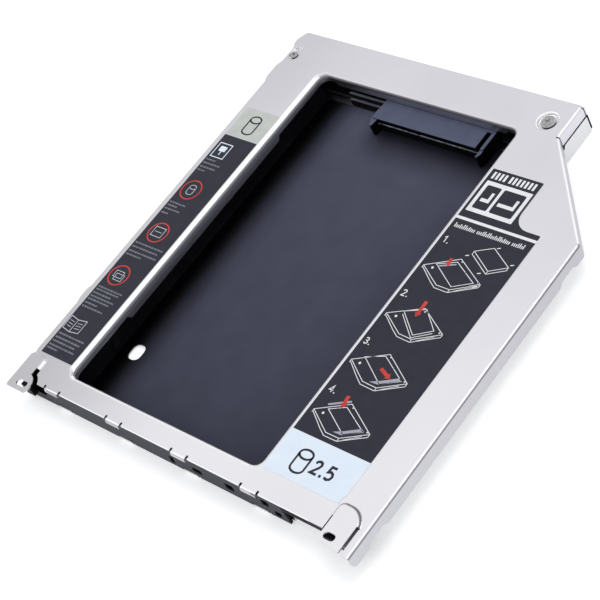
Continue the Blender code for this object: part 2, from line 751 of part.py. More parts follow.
def top_cover():
    """Pressed cover: window with rolled edges, side flanges, front hooks and two raised ears."""
    sheet = Sheet(rise=-1)
    top = BODY_HEIGHT

    # Front edge from the left ear to the right ear, with a slit on both sides of each hook
    ear_top, ear_foot = left_ear_edges()
    edge = list(ear_foot)
    gap_radius = LEFT_EAR_RADIUS + LEFT_EAR_GAP
    reach = math.degrees(math.asin(min(1.0, -LEFT_EAR_HOLE[1] / gap_radius)))
    slit_side = (ear_foot[-1][0] - LEFT_EAR_HOLE[0]) / gap_radius
    start = math.degrees(math.acos(max(-1.0, min(1.0, slit_side))))
    edge += arc(LEFT_EAR_HOLE, gap_radius, start, reach, 6)
    for left, right in hook_spans():
        edge += [(left - HOOK_SLIT, 0.0), (left - HOOK_SLIT, HOOK_SLIT_DEPTH), (left, HOOK_SLIT_DEPTH)]
        edge += sheet.fold([(left, -HOOK_REACH), (right, -HOOK_REACH)], 1, HOOK_BEND, HOOK_DROP, top)
        edge += [(right, HOOK_SLIT_DEPTH), (right + HOOK_SLIT, HOOK_SLIT_DEPTH), (right + HOOK_SLIT, 0.0)]
    pad_top, pad_foot = right_ear_edges()
    edge.append((pad_foot[0][0], 0.0))
    edge += pad_foot
    slit_edge = pad_top[-1][0] + RIGHT_SLIT
    edge += [(slit_edge, RIGHT_SLIT_BACK - RIGHT_SLIT), (slit_edge, -EAR_REACH)]

    # Right side and diagonal, rear-right side, rear and left side
    path, reaches = wing_stations()
    edge += sheet.fold(path, 1, BEND, reaches, top)
    edge.append((TALL_WIDTH - BEND, NOTCH_Y))
    side = [(TALL_WIDTH, NOTCH_Y + NOTCH_SLIT), (TALL_WIDTH, SIDE_END)]
    edge += sheet.fold(side, 1, BEND, SIDE_FLANGE, top)
    sheet.strip([[(TALL_WIDTH, y, top - drop) for y in (SIDE_END, SIDE_REACH)] for drop in (BEND, SIDE_FLANGE)])
    edge.append((TALL_WIDTH - BEND, BODY_DEPTH - BEND))
    plug_left, plug_right = PLUG_LEFT - FIT, PLUG_RIGHT + FIT
    rear = [(x, BODY_DEPTH) for x in (REAR_RIGHT_END, plug_right + SHEET, plug_right,
                                      plug_left, plug_left - SHEET, REAR_LEFT_END)]
    over_plug = BODY_HEIGHT - PLUG_TOP - FIT
    drops = [SIDE_FLANGE, SIDE_FLANGE, over_plug, over_plug, SIDE_FLANGE, SIDE_FLANGE]
    edge += sheet.fold(rear, 1, BEND, drops, top)
    ends = (TALL_WIDTH, REAR_RIGHT_END)
    sheet.strip([[(x, BODY_DEPTH, top - drop) for x in ends] for drop in (BEND, SIDE_FLANGE)])
    edge.append((BEND, BODY_DEPTH - BEND))
    left_side = side_path()
    edge += sheet.fold(left_side, 1, BEND, SIDE_FLANGE, top)

    # Holes in the flat part, each with its own drawn edge
    window, window_reach = window_stations()
    window_edge = sheet.fold(window, -1, window_bends(window), window_reach, top, closed=True)
    dimples = []
    for centre, radius, stretch, slope, depth, screw in (
            (RIGHT_SCREW, RIGHT_DIMPLE_RADIUS, 0.0, RIGHT_DIMPLE_SLOPE, RIGHT_DIMPLE_DEPTH, RIGHT_SCREW),
            (LEFT_DIMPLE, LEFT_DIMPLE_RADIUS, LEFT_DIMPLE_STRETCH, LEFT_DIMPLE_SLOPE, LEFT_DIMPLE_DEPTH,
             LEFT_SCREW)):
        rings = [ring_at(centre, radius, stretch, top),
                 ring_at(centre, radius - slope * 0.3, stretch, top - depth * 0.2),
                 ring_at(centre, radius - slope * 0.7, stretch, top - depth * 0.8),
                 ring_at(centre, radius - slope, stretch, top - depth),
                 ring_at(screw, SCREW_RADIUS + FIT, 0.0, top - depth)]
        sheet.strip(rings, closed=True)
        dimples.append([point[:2] for point in rings[0]])
    sheet.flat([edge, window_edge] + dimples, top)

    # Raised ears
    raised = top + EAR_RISE
    sheet.ramp(ear_top, ear_foot, raised, top)
    ear = list(ear_top)
    hole_x, hole_y = LEFT_EAR_HOLE
    ear_start = math.degrees(math.acos(min(1.0, (ear_top[-1][0] - hole_x) / LEFT_EAR_RADIUS)))
    ear_end = -math.degrees(math.asin(min(1.0, (EAR_REACH + hole_y) / LEFT_EAR_RADIUS)))
    ear += arc(LEFT_EAR_HOLE, LEFT_EAR_RADIUS, ear_start, ear_end, 8)
    lip = [(0.0, EAR_CORNER / 2 - EAR_REACH), (0.0, LEFT_EAR_BACK)]
    ear += [(hole_x, -EAR_REACH), (BEND, -EAR_REACH)] + sheet.fold(lip, -1, BEND, LEFT_EAR_LIP, raised)[:1]
    sheet.flat([ear, obround(LEFT_EAR_HOLE, EAR_HOLE_WIDTH, EAR_HOLE_LENGTH)], raised)
    sheet.ramp(pad_top, pad_foot, raised, top)
    pad_left, pad_right = pad_top[0][0], pad_top[-1][0]
    pad = list(pad_top)
    pad += rounded([(pad_right, 0.0, 0), (pad_right, -EAR_REACH, RELIEF / 2),
                    (pad_left, -RIGHT_EAR_REACH, RIGHT_EAR_NOSE), (pad_left, 0.0, 0)], closed=False)
    sheet.flat([pad, obround(RIGHT_EAR_HOLE, EAR_HOLE_WIDTH, RIGHT_HOLE_LENGTH)], raised)
    cover = sheet.finish("top_cover", satin_metal())
    smooth(cover)
    return cover


def wing_floor_outline(front_left, front):
    """Wing inside the cover's flange: front left, front right, corner and diagonal."""
    inset = shifted(wing_path(), WING_EDGE, closed=False)
    right = inset[0][0]
    diagonal = inset[-2:]
    slope = (diagonal[1][1] - diagonal[0][1]) / (diagonal[1][0] - diagonal[0][0])
    reach_y = diagonal[1][1] + slope * (front_left - diagonal[1][0])
    return [(right, front)] + inset[1:-1] + [(front_left, reach_y)], reach_y


def bottom_cover():
    """Tray: floor, left, rear and right walls, front hooks, and the step up to the wing's floor."""
    sheet = Sheet(rise=1)
    wing_bend = BEND
    wing_left = STEP_X + wing_bend
    wing, step_end = wing_floor_outline(wing_left, TRAY_FRONT)

    # Floor edge along the front, with hooks that bend up
    edge = [(BEND, TRAY_FRONT)]
    for left, right in hook_spans():
        tip = [(left, TRAY_HOOK_FRONT), (right, TRAY_HOOK_FRONT)]
        edge.append((left, TRAY_FRONT))
        edge += sheet.fold(tip, 1, HOOK_BEND, TRAY_HOOK_RISE, 0.0)
        edge.append((right, TRAY_FRONT))
    edge.append((STEP_X - BEND, TRAY_FRONT))

    # Step: up from the floor, then out to the wing
    rings = []
    ends = (TRAY_FRONT, step_end)
    for step in range(BEND_STEPS + 1):
        angle = math.pi / 2 * step / BEND_STEPS
        x, z = STEP_X - BEND + BEND * math.sin(angle), BEND * (1 - math.cos(angle))
        rings.append([(x, y, z) for y in ends])
    for step in range(BEND_STEPS + 1):
        angle = math.pi / 2 * step / BEND_STEPS
        x = STEP_X + wing_bend * (1 - math.cos(angle))
        z = WING_FLOOR - wing_bend + wing_bend * math.sin(angle)
        rings.append([(x, y, z) for y in ends])
    sheet.strip(rings)
    edge.append((STEP_X - BEND, step_end))
    short, near_ear = TRAY_FRONT + WING_FRONT_INSET, RIGHT_EAR_LEFT - RIGHT_EAR_RAMP
    sheet.flat([[(wing_left, TRAY_FRONT), (wing_left + WING_FRONT_INSET, short), (near_ear, short),
                 (near_ear, RIGHT_EAR_BACK), (wing[0][0], RIGHT_EAR_BACK)] + wing[1:]], WING_FLOOR)

    # Plain walls behind the step, along the rear and along the left side
    side = [(STEP_X, y) for y in (step_end + RELIEF, NOTCH_Y, NOTCH_Y + RELIEF, SIDE_END)]
    low = WING_FLOOR - SEAM
    edge += sheet.fold(side, 1, BEND, [low, low, TRAY_WALL_TOP, TRAY_WALL_TOP], 0.0)
    sheet.strip([[(STEP_X, y, level) for y in (SIDE_END, SIDE_REACH)] for level in (BEND, TRAY_WALL_TOP)])
    edge.append((STEP_X - BEND, BODY_DEPTH - BEND))
    plug_left, plug_right = PLUG_LEFT - FIT, PLUG_RIGHT + FIT
    rear = [(x, BODY_DEPTH) for x in (REAR_RIGHT_END, plug_right + SHEET, plug_right,
                                      plug_left, plug_left - SHEET, REAR_LEFT_END)]
    under_plug = PLUG_BOTTOM - FIT
    rises = [TRAY_WALL_TOP, TRAY_WALL_TOP, under_plug, under_plug, TRAY_WALL_TOP, TRAY_WALL_TOP]
    edge += sheet.fold(rear, 1, BEND, rises, 0.0)
    edge.append((BEND, BODY_DEPTH - BEND))
    ear_wall = EAR_FLANGE_END - SEAM
    left = [(0.0, y) for y in (BODY_DEPTH - BEND - RELIEF / 2, ear_wall, ear_wall - SHEET, TRAY_FRONT)]
    rises = [TRAY_WALL_TOP, TRAY_WALL_TOP, TRAY_EAR_WALL_TOP, TRAY_EAR_WALL_TOP]
    edge += sheet.fold(left, 1, BEND, rises, 0.0)
    edge.pop()
    hole = floor_hole(0.0)
    sheet.flat([edge, hole], 0.0)
    tray = sheet.finish("bottom_cover", satin_metal())
    smooth(tray)
    return tray


def floor_hole(grow):
    """Rounded hole through tray and film, near the front of the bay."""
    x, y = FLOOR_HOLE
    half_x, half_y = FLOOR_HOLE_WIDTH / 2 + grow, FLOOR_HOLE_LENGTH / 2 + grow
    return rectangle(x - half_x, y - half_y, x + half_x, y + half_y, FLOOR_HOLE_CORNER + grow)


# Film and mouldings

def floor_film():
    """Insulating film between the two rails."""
    outline = rectangle(RAIL_FACE + FIT, BAR_REAR + FIT, FRAME_FACE - FIT, MOULD_REAR, MM)
    prism("floor_film", [outline, floor_hole(0.0)], MOULD_BOTTOM, FILM_TOP,
          material("black_film", (0.03, 0.031, 0.04), 0.3))


def pocket_row(shape, x0, x1, y0, y1, low, high, count, along_x):
    """Row of equal pockets between two ends, a wall apart."""
    start, end = (x0, x1) if along_x else (y0, y1)
    size = (end - start - MOULD_WALL * (count - 1)) / count
    for i in range(count):
        a = start + i * (size + MOULD_WALL)
        if along_x:
            add_prism(shape, [rectangle(a, y0, a + size, y1, POCKET_CORNER, 2)], low, high, from_above)
        else:
            add_prism(shape, [rectangle(x0, a, x1, a + size, POCKET_CORNER, 2)], low, high, from_above)


def front_bar():
    """Moulded bar behind the hooks, low behind the left ear, with pockets and slots in its face."""
    outline = [(INNER_LEFT, MOULD_BOTTOM), (INNER_RIGHT, MOULD_BOTTOM), (INNER_RIGHT, MOULD_TOP),
               (BAR_EAR_WIDTH + BAR_EAR_SLOPE, MOULD_TOP), (BAR_EAR_WIDTH, BAR_EAR_HEIGHT),
               (INNER_LEFT, BAR_EAR_HEIGHT)]
    bar = prism("front_bar", [outline], BAR_FRONT, BAR_REAR,
                material("grey_moulding", (0.075, 0.077, 0.088), 0.45), from_front)
    block = bmesh.new()
    add_box(block, INNER_LEFT, EAR_BLOCK_WIDTH, -EAR_BLOCK_REACH, BAR_FRONT + BAR_DEPTH / 2,
            MOULD_BOTTOM + MM, EAR_BLOCK_HEIGHT)
    combine(bar, finish("front_bar_ear_block", block, None), "UNION")
    lip = bmesh.new()
    add_box(lip, INNER_LEFT, INNER_RIGHT, BAR_FRONT, TRAY_FRONT - FIT, 0.0, MOULD_BOTTOM + MM)
    combine(bar, finish("front_bar_lip", lip, None), "UNION")
    cuts = bmesh.new()
    rear_wall = MOULD_WALL
    pocket_row(cuts, BAR_EAR_WIDTH + BAR_EAR_SLOPE + MOULD_WALL, INNER_RIGHT - MOULD_WALL,
               BAR_REAR - rear_wall - BAR_POCKET_DEPTH, BAR_REAR - rear_wall,
               MOULD_BOTTOM + MOULD_FLOOR, MOULD_TOP + MM, BAR_POCKETS, True)
    pockets = finish("front_bar_pockets", cuts, None)
    combine(bar, pockets, "DIFFERENCE")
    cuts = bmesh.new()
    front, inner = TRAY_HOOK_FRONT - MM, TRAY_HOOK_FRONT + SHEET + FIT
    for left, right in hook_spans():
        recess = [(front, -MM), (TRAY_FRONT, -MM), (TRAY_FRONT, MOULD_BOTTOM), (inner, MOULD_BOTTOM),
                  (inner, TRAY_HOOK_RISE + FIT), (front, TRAY_HOOK_RISE + FIT)]
        add_prism(cuts, [recess], left - FIT, right + FIT, from_side)
    combine(bar, finish("front_bar_recesses", cuts, None), "DIFFERENCE")
    cuts = bmesh.new()
    for (left, right), slots in zip(hook_spans(), BAR_SLOTS):
        for beside, z, width, height in slots:
            x = (left + right) / 2 + beside
            corners = [(x - width / 2, z - height / 2), (x + width / 2 - SLOT_LEAN, z - height / 2),
                       (x + width / 2, z + height / 2), (x - width / 2 + SLOT_LEAN, z + height / 2)]
            slot = rounded([(*corner, SLOT_CORNER) for corner in corners], steps=2)
            add_prism(cuts, [slot], -MM, BAR_REAR - rear_wall - BAR_POCKET_DEPTH / 2, from_front)
    combine(bar, finish("front_bar_slots", cuts, None), "DIFFERENCE")
    return bar


def left_rail():
    """Moulded rail along the left side of the bay, with two pegs that locate the drive."""
    chamfer = WINDOW_LEFT_BEND * RAIL_CHAMFER
    section = [(INNER_LEFT, MOULD_BOTTOM), (RAIL_FACE, MOULD_BOTTOM), (RAIL_FACE, MOULD_TOP - chamfer),
               (RAIL_FACE - chamfer, MOULD_TOP), (INNER_LEFT, MOULD_TOP)]
    rail = prism("left_rail", [section], BAR_REAR + FIT, MOULD_REAR, black_moulding(), from_front)
    cuts = bmesh.new()
    pocket_row(cuts, INNER_LEFT + MOULD_WALL, RAIL_FACE - MOULD_WALL - MM, BAR_REAR + FIT + MOULD_WALL,
               MOULD_REAR - MOULD_WALL, MOULD_BOTTOM + MOULD_FLOOR, MOULD_TOP + MM, RAIL_POCKETS, False)
    pockets = finish("left_rail_pockets", cuts, None)
    combine(rail, pockets, "DIFFERENCE")
    pegs = bmesh.new()
    for y in (PEG_FROM_FRONT, BODY_DEPTH - PEG_FROM_REAR):
        circle = arc((y, PEG_HEIGHT), PEG_RADIUS, 0, 360, 12)[:-1]
        add_prism(pegs, [circle], RAIL_FACE - MOULD_WALL / 2, WINDOW_LEFT, from_side)
    combine(rail, finish("left_rail_pegs", pegs, None), "UNION")
    return rail


def right_frame():
    """Moulded frame right of the bay: a tall wall under the cover and a thin plate in the wing."""
    chamfer = WINDOW_BEND * RAIL_CHAMFER
    section = [(FRAME_FACE, MOULD_BOTTOM), (INNER_RIGHT, MOULD_BOTTOM), (INNER_RIGHT, WING_MOULD_BOTTOM),
               (BODY_WIDTH - WING_EDGE, WING_MOULD_BOTTOM), (BODY_WIDTH - WING_EDGE, MOULD_TOP),
               (FRAME_FACE + chamfer, MOULD_TOP), (FRAME_FACE, MOULD_TOP - chamfer)]
    support = -EAR_SUPPORT_REACH
    frame = prism("right_frame", [section], support, MOULD_REAR, black_moulding(), from_front)
    beyond = BODY_WIDTH * 1.2
    cuts = bmesh.new()
    diagonal, reach_y = wing_floor_outline(INNER_RIGHT - MM, support - MM)
    keep_out = diagonal[1:] + [(INNER_RIGHT - MM, BODY_DEPTH), (beyond, BODY_DEPTH), (beyond, diagonal[1][1])]
    add_prism(cuts, [keep_out], 0.0, BODY_HEIGHT, from_above)
    front_left = [(FRAME_FACE - MM, support - MM), (RIGHT_EAR_LEFT - MM, support - MM),
                  (RIGHT_EAR_LEFT - MM, BAR_FRONT), (INNER_RIGHT + FIT, BAR_FRONT),
                  (INNER_RIGHT + FIT, BAR_REAR + FIT), (FRAME_FACE - MM, BAR_REAR + FIT)]
    add_prism(cuts, [front_left], 0.0, BODY_HEIGHT, from_above)
    combine(frame, finish("right_frame_outline", cuts, None), "DIFFERENCE")
    cuts = bmesh.new()
    pocket_row(cuts, INNER_RIGHT + 2 * MOULD_WALL, BODY_WIDTH - WING_EDGE - 2 * MOULD_WALL,
               RIGHT_EAR_BACK + 3 * MOULD_WALL, CORNER_Y - 2 * MOULD_WALL,
               WING_MOULD_BOTTOM + WING_SKIN, MOULD_TOP + MM, WING_POCKETS, False)
    pocket_row(cuts, FRAME_FACE + MOULD_WALL, INNER_RIGHT - MOULD_WALL, BAR_REAR + FIT + MOULD_WALL,
               CORNER_Y, MOULD_BOTTOM + MOULD_FLOOR, MOULD_TOP + MM, RAIL_POCKETS - 1, False)
    combine(frame, finish("right_frame_pockets", cuts, None), "DIFFERENCE")
    return frame


def board_holder():
    """Moulded plate under the board, with a stepped edge, corner blocks and holes for the posts."""
    left, right, step = INNER_LEFT, INNER_RIGHT, HOLDER_STEP
    front = HOLDER_FRONT + 2 * step
    outline = [(left, front), (SOCKET_LEFT - FIT, front), (SOCKET_LEFT - FIT, SOCKET_REAR + FIT),
               (SOCKET_RIGHT + FIT, SOCKET_REAR + FIT), (SOCKET_RIGHT + FIT, front),
               (right, front), (right, INNER_REAR), (PLUG_RIGHT + FIT, INNER_REAR),
               (PLUG_RIGHT + FIT, PLUG_FRONT - FIT), (PLUG_LEFT - FIT, PLUG_FRONT - FIT),
               (PLUG_LEFT - FIT, INNER_REAR), (left, INNER_REAR)]
    holes = []
    for centre in BOARD_SCREWS:
        holes.append(arc(centre, BOARD_SCREW_RADIUS + FIT, 0, 360, 12)[:-1])
    holder = prism("board_holder", [outline] + holes, MOULD_BOTTOM, BOARD_UNDER - FIT, black_moulding())
    front, edge = HOLDER_FRONT, HOLDER_FRONT + step
    rear, root = edge + step, edge + 2 * step
    low, foot = MOULD_BOTTOM, BOARD_UNDER - FIT
    section = [(front, low), (root, low), (root, foot), (rear, foot), (rear, HOLDER_EDGE), (edge, HOLDER_EDGE),
               (edge, HOLDER_LEDGE), (front, HOLDER_LEDGE)]
    fence = bmesh.new()
    add_prism(fence, [section], SOCKET_LEFT - FIT - HOLDER_STEP_WIDTH, SOCKET_LEFT - FIT, from_side)
    combine(holder, finish("board_holder_step", fence, None), "UNION")
    blocks = bmesh.new()
    low, high = BOARD_UNDER - FIT - MOULD_WALL / 2, MOULD_TOP
    for x0, x1 in ((left, BOARD_LEFT - FIT), (BOARD_RIGHT + FIT, right)):
        block = rectangle(x0, HOLDER_FRONT + HOLDER_CORNER, x1, INNER_REAR)
        add_prism(blocks, [block], low, high, from_above)
    combine(holder, finish("board_holder_blocks", blocks, None), "UNION")
    pillar, arm = bmesh.new(), SIDE_REACH + FIT
    corner = [(REAR_RIGHT_END + FIT, INNER_REAR - MOULD_WALL), (INNER_RIGHT, INNER_REAR - MOULD_WALL),
              (INNER_RIGHT, arm), (TALL_WIDTH, arm), (TALL_WIDTH, BODY_DEPTH), (REAR_RIGHT_END + FIT, BODY_DEPTH)]
    add_prism(pillar, [corner], MOULD_BOTTOM, TRAY_WALL_TOP, from_above)
    combine(holder, finish("board_holder_corner", pillar, None), "UNION")
    deep = bmesh.new()
    for centre in (LEFT_SCREW, RIGHT_SCREW):
        hole = arc(centre, post_radius() + FIT, 0, 360, 16)[:-1]
        add_prism(deep, [hole], 0.0, BODY_HEIGHT, from_above)
    combine(holder, finish("board_holder_post_holes", deep, None), "DIFFERENCE")
    shallow = bmesh.new()
    room = SHEET + FIT
    x, y = LEFT_DIMPLE
    half_y = LEFT_DIMPLE_RADIUS + LEFT_DIMPLE_STRETCH / 2 + room
    add_box(shallow, 0.0, x + LEFT_DIMPLE_RADIUS + room, y - half_y, y + half_y,
            BODY_HEIGHT - LEFT_DIMPLE_DEPTH - room, BODY_HEIGHT)
    ring = arc(RIGHT_SCREW, RIGHT_DIMPLE_RADIUS + room, 0, 360, 20)[:-1]
    add_prism(shallow, [ring], BODY_HEIGHT - RIGHT_DIMPLE_DEPTH - room, BODY_HEIGHT, from_above)
    combine(holder, finish("board_holder_dimple_room", shallow, None), "DIFFERENCE")
    return holder


# Posts and screws

def post_radius():
    return SCREW_RADIUS + FIT + POST_WALL


def post(name, centre, dimple_depth):
    """Threaded post that a cover screw enters."""
    top = BODY_HEIGHT - dimple_depth - SHEET - FIT
    outer = arc(centre, post_radius(), 0, 360, 20)[:-1]
    bore = arc(centre, SCREW_RADIUS + FIT, 0, 360, 16)[:-1]
    prism(name, [outer, bore], SHEET + FIT, top, bright_steel())


def cover_screw(name, centre, head_radius, dimple_depth):
    """Low-headed screw, its top dished inside a rim, with a cross recess."""
    seat = BODY_HEIGHT - dimple_depth + FIT
    shape = bmesh.new()
    head = seat + HEAD_HEIGHT
    profile = [(0.0, seat - SCREW_LENGTH), (SCREW_RADIUS * 0.7, seat - SCREW_LENGTH),
               (SCREW_RADIUS, seat - SCREW_LENGTH + SCREW_RADIUS * 0.5), (SCREW_RADIUS, seat),
               (head_radius * 0.96, seat), (head_radius, seat + HEAD_HEIGHT * 0.3),
               (head_radius * 0.9, head), (head_radius * 0.76, head),
               (head_radius * 0.68, head - HEAD_DISH), (0.0, head - HEAD_DISH)]
    add_turned(shape, centre, profile)
    screw = finish(name, shape, bright_steel())
    cuts = bmesh.new()
    x, y = centre
    arm, half = head_radius * CROSS_ARM, CROSS_WIDTH / 2
    cross = [(-half, -arm), (half, -arm), (half, -half), (arm, -half), (arm, half), (half, half),
             (half, arm), (-half, arm), (-half, half), (-arm, half), (-arm, -half), (-half, -half)]
    floor = head - HEAD_DISH - CROSS_DEPTH
    add_prism(cuts, [[(x + a, y + b) for a, b in cross]], floor, head + MM, from_above)
    combine(screw, finish(name + "_cross", cuts, None), "DIFFERENCE")
    smooth(screw)
    return screw


def board_screws():
    """Two small screws that hold the board to its holder."""
    low, head = MOULD_BOTTOM + FIT, ON_BOARD + BOARD_HEAD_HEIGHT
    profile = [(0.0, low), (BOARD_SCREW_RADIUS, low), (BOARD_SCREW_RADIUS, ON_BOARD),
               (BOARD_HEAD_RADIUS, ON_BOARD), (BOARD_HEAD_RADIUS, ON_BOARD + BOARD_HEAD_HEIGHT * 0.6),
               (BOARD_HEAD_RADIUS * 0.75, head), (0.0, head)]
    for i, centre in enumerate(BOARD_SCREWS):
        shape = bmesh.new()
        add_turned(shape, centre, profile, 14)
        smooth(finish(f"board_screw_{i + 1}", shape, bright_steel()))


# Electrical pieces

def adapter_board():
    """Board that joins the drive's socket to the laptop's plug, cut away round the plug."""
    left, right, rear = BOARD_LEFT, BOARD_RIGHT, BOARD_REAR
    notch = PLUG_FRONT - FIT
    outline = [(left, BOARD_FRONT), (right, BOARD_FRONT), (right, rear), (PLUG_RIGHT + FIT, rear),
               (PLUG_RIGHT + FIT, notch), (PLUG_LEFT - FIT, notch), (PLUG_LEFT - FIT, rear), (left, rear)]
    holes = [arc(centre, BOARD_SCREW_RADIUS + FIT, 0, 360, 12)[:-1] for centre in BOARD_SCREWS]
    prism("adapter_board", [outline] + holes, BOARD_UNDER, BOARD_TOP,
          material("board_green", (0.015, 0.06, 0.04), 0.4))


def contact_places(first, count, pitch):
    return [first + i * pitch for i in range(count)]


def cut_channels(housing, name, groups, y0, y1, level):
    """One channel through the housing's wall for each contact."""
    channels = bmesh.new()
    half = CONTACT_WIDTH / 2 + CONTACT_ROOM
    for first, count, pitch in groups:
        for x in contact_places(first, count, pitch):
            add_box(channels, x - half, x + half, y0, y1, level - CONTACT_ROOM, level + CONTACT + CONTACT_ROOM)
    combine(housing, finish(name, channels, None), "DIFFERENCE")


def socket_groups():
    """First place, count and pitch of the contacts in the two mouths of the drive socket."""
    return ((DATA_FIRST, DATA_CONTACTS, CONTACT_PITCH), (POWER_FIRST, POWER_CONTACTS, CONTACT_PITCH))


def drive_socket():
    """Socket housing with two mouths, a channel behind each contact and a guide at each end."""
    low = FILM_TOP + FIT
    section = [(SOCKET_FRONT, low), (SOCKET_REAR, low), (SOCKET_REAR, ON_BOARD),
               (SOCKET_REAR + SOCKET_LEDGE, ON_BOARD), (SOCKET_REAR + SOCKET_LEDGE, SOCKET_TOP),
               (SOCKET_FRONT, SOCKET_TOP)]
    surface = material("slate_moulding", (0.085, 0.095, 0.13), 0.38)
    socket = prism("drive_socket", [section], SOCKET_LEFT, SOCKET_RIGHT, surface, from_side)
    guides = bmesh.new()
    tip, back, wide = SOCKET_FRONT - SOCKET_GUIDE, SOCKET_FRONT + SOCKET_GUIDE_FOOT, SOCKET_GUIDE_WIDTH
    left = SOCKET_LEFT - wide / 2
    left_guide = [(left, back), (left, SOCKET_FRONT), (left + wide, tip), (left + 1.7 * wide, tip),
                  (left + 2 * wide, SOCKET_FRONT), (left + 2 * wide, back)]
    right = SOCKET_RIGHT
    right_guide = [(right - wide, back), (right - wide, tip), (right - wide / 2, tip),
                   (right, SOCKET_FRONT - SOCKET_GUIDE / 2), (right, back)]
    for outline in (left_guide, right_guide):
        add_prism(guides, [outline], low + FIT, SOCKET_TOP - FIT, from_above)
    combine(socket, finish("drive_socket_guides", guides, None), "UNION")
    cuts = bmesh.new()
    for first, count, pitch in socket_groups():
        start, end = first - MOUTH_END, first + (count - 1) * pitch + MOUTH_END
        inner, top = MOUTH_BOTTOM + MOUTH_KEY, MOUTH_BOTTOM + MOUTH_HEIGHT
        key = start + CONTACT_PITCH / 2
        mouth = [(start, MOUTH_BOTTOM - MOUTH_KEY), (key, MOUTH_BOTTOM - MOUTH_KEY), (key, MOUTH_BOTTOM),
                 (end, MOUTH_BOTTOM), (end, top), (start, top), (start, inner)]
        add_prism(cuts, [mouth], SOCKET_FRONT - MM, SOCKET_FRONT + MOUTH_DEPTH, from_front)
    add_box(cuts, right - wide - SOCKET_GROOVE, right - wide, SOCKET_FRONT - MM, SOCKET_REAR - MM,
            MOUTH_BOTTOM, SOCKET_TOP + MM)
    combine(socket, finish("drive_socket_mouths", cuts, None), "DIFFERENCE")
    cut_channels(socket, "drive_socket_channels", socket_groups(), SOCKET_FRONT + MOUTH_DEPTH - CONTACT_ROOM,
                 SOCKET_REAR + SOCKET_LEDGE + MM, contact_level())
    return socket


def contact_level():
    """Underside of the socket's contacts, just above the floor of the mouth."""
    return MOUTH_BOTTOM + FIT


def contact_strip(tip, bend, end, level, tail):
    """Side outline of one contact: a straight blade, a short drop and a tail on the board."""
    way = 1 if end > bend else -1
    thick = CONTACT * way
    return [(tip, level), (bend, level), (bend + thick, tail), (end, tail), (end, tail + CONTACT),
            (bend + 2 * thick, tail + CONTACT), (bend + thick, level + CONTACT), (tip, level + CONTACT)]


def contact_set(name, outline, places):
    """Row of equal contacts that share one mesh."""
    shape = bmesh.new()
    add_prism(shape, [outline], -CONTACT_WIDTH / 2, CONTACT_WIDTH / 2, from_side)
    first = finish(f"{name}_1", shape, contact_metal())
    first.location.x = places[0]
    for i, x in enumerate(places[1:], 2):
        link(f"{name}_{i}", first.data, None).location.x = x


def socket_contacts():
    bend = SOCKET_REAR + SOCKET_LEDGE + FIT
    outline = contact_strip(SOCKET_FRONT + CONTACT_INSET, bend, bend + CONTACT_TAIL, contact_level(), ON_BOARD)
    data, power = socket_groups()
    contact_set("socket_data_contact", outline, contact_places(*data))
    contact_set("socket_power_contact", outline, contact_places(*power))


def plug_rows():
    return ((PLUG_DATA_FIRST, PLUG_DATA_CONTACTS, CONTACT_PITCH),
            (PLUG_POWER_FIRST, PLUG_POWER_CONTACTS, PLUG_POWER_PITCH))


def plug_level():
    """Underside of the plug's contacts, just above the tongues."""
    return TONGUE_BOTTOM + PLUG_TONGUE + FIT


def bay_plug():
    """Plug housing open to the rear, with a tongue under each row of contacts."""
    section = [(PLUG_FRONT, PLUG_BOTTOM), (PLUG_REAR, PLUG_BOTTOM), (PLUG_REAR, PLUG_TOP),
               (PLUG_FRONT - PLUG_LEDGE, PLUG_TOP), (PLUG_FRONT - PLUG_LEDGE, ON_BOARD), (PLUG_FRONT, ON_BOARD)]
    plug = prism("bay_plug", [section], PLUG_LEFT, PLUG_RIGHT, black_moulding(), from_side)
    cuts = bmesh.new()
    low, high = PLUG_BOTTOM + PLUG_WALL, PLUG_TOP - PLUG_WALL
    tongues = [rectangle(first - CONTACT_PITCH, TONGUE_BOTTOM, first + (count - 1) * pitch + CONTACT_PITCH,
                         TONGUE_BOTTOM + PLUG_TONGUE) for first, count, pitch in plug_rows()]
    cavity = rectangle(PLUG_LEFT + PLUG_WALL, low, PLUG_RIGHT - PLUG_WALL, high)
    add_prism(cuts, [cavity] + tongues, PLUG_FRONT + PLUG_BACK_WALL, PLUG_REAR + MM, from_front)
    combine(plug, finish("bay_plug_cavity", cuts, None), "DIFFERENCE")
    cut_channels(plug, "bay_plug_channels", plug_rows(), PLUG_FRONT - PLUG_LEDGE - MM,
                 PLUG_FRONT + PLUG_BACK_WALL + CONTACT_ROOM, plug_level())
    return plug


def plug_contacts():
    bend = PLUG_FRONT - PLUG_LEDGE - FIT
    outline = contact_strip(PLUG_REAR - CONTACT_INSET, bend, bend - CONTACT_TAIL, plug_level(), ON_BOARD)
    data, power = plug_rows()
    contact_set("plug_data_contact", outline, contact_places(*data))
    contact_set("plug_power_contact", outline, contact_places(*power))


def board_parts():
    """Two capacitors on the supply."""
    wide, deep, tall = CAPACITOR
    y = (BOARD_FRONT + BOARD_REAR) / 2
    for i, before in enumerate(CAPACITOR_PLACES):
        x = PLUG_LEFT - before
        shape = bmesh.new()
        add_box(shape, x, x + wide, y, y + deep, ON_BOARD, ON_BOARD + tall)
        finish(f"supply_capacitor_{i + 1}", shape, material("capacitor_ochre", (0.55, 0.36, 0.08), 0.45))


# Labels

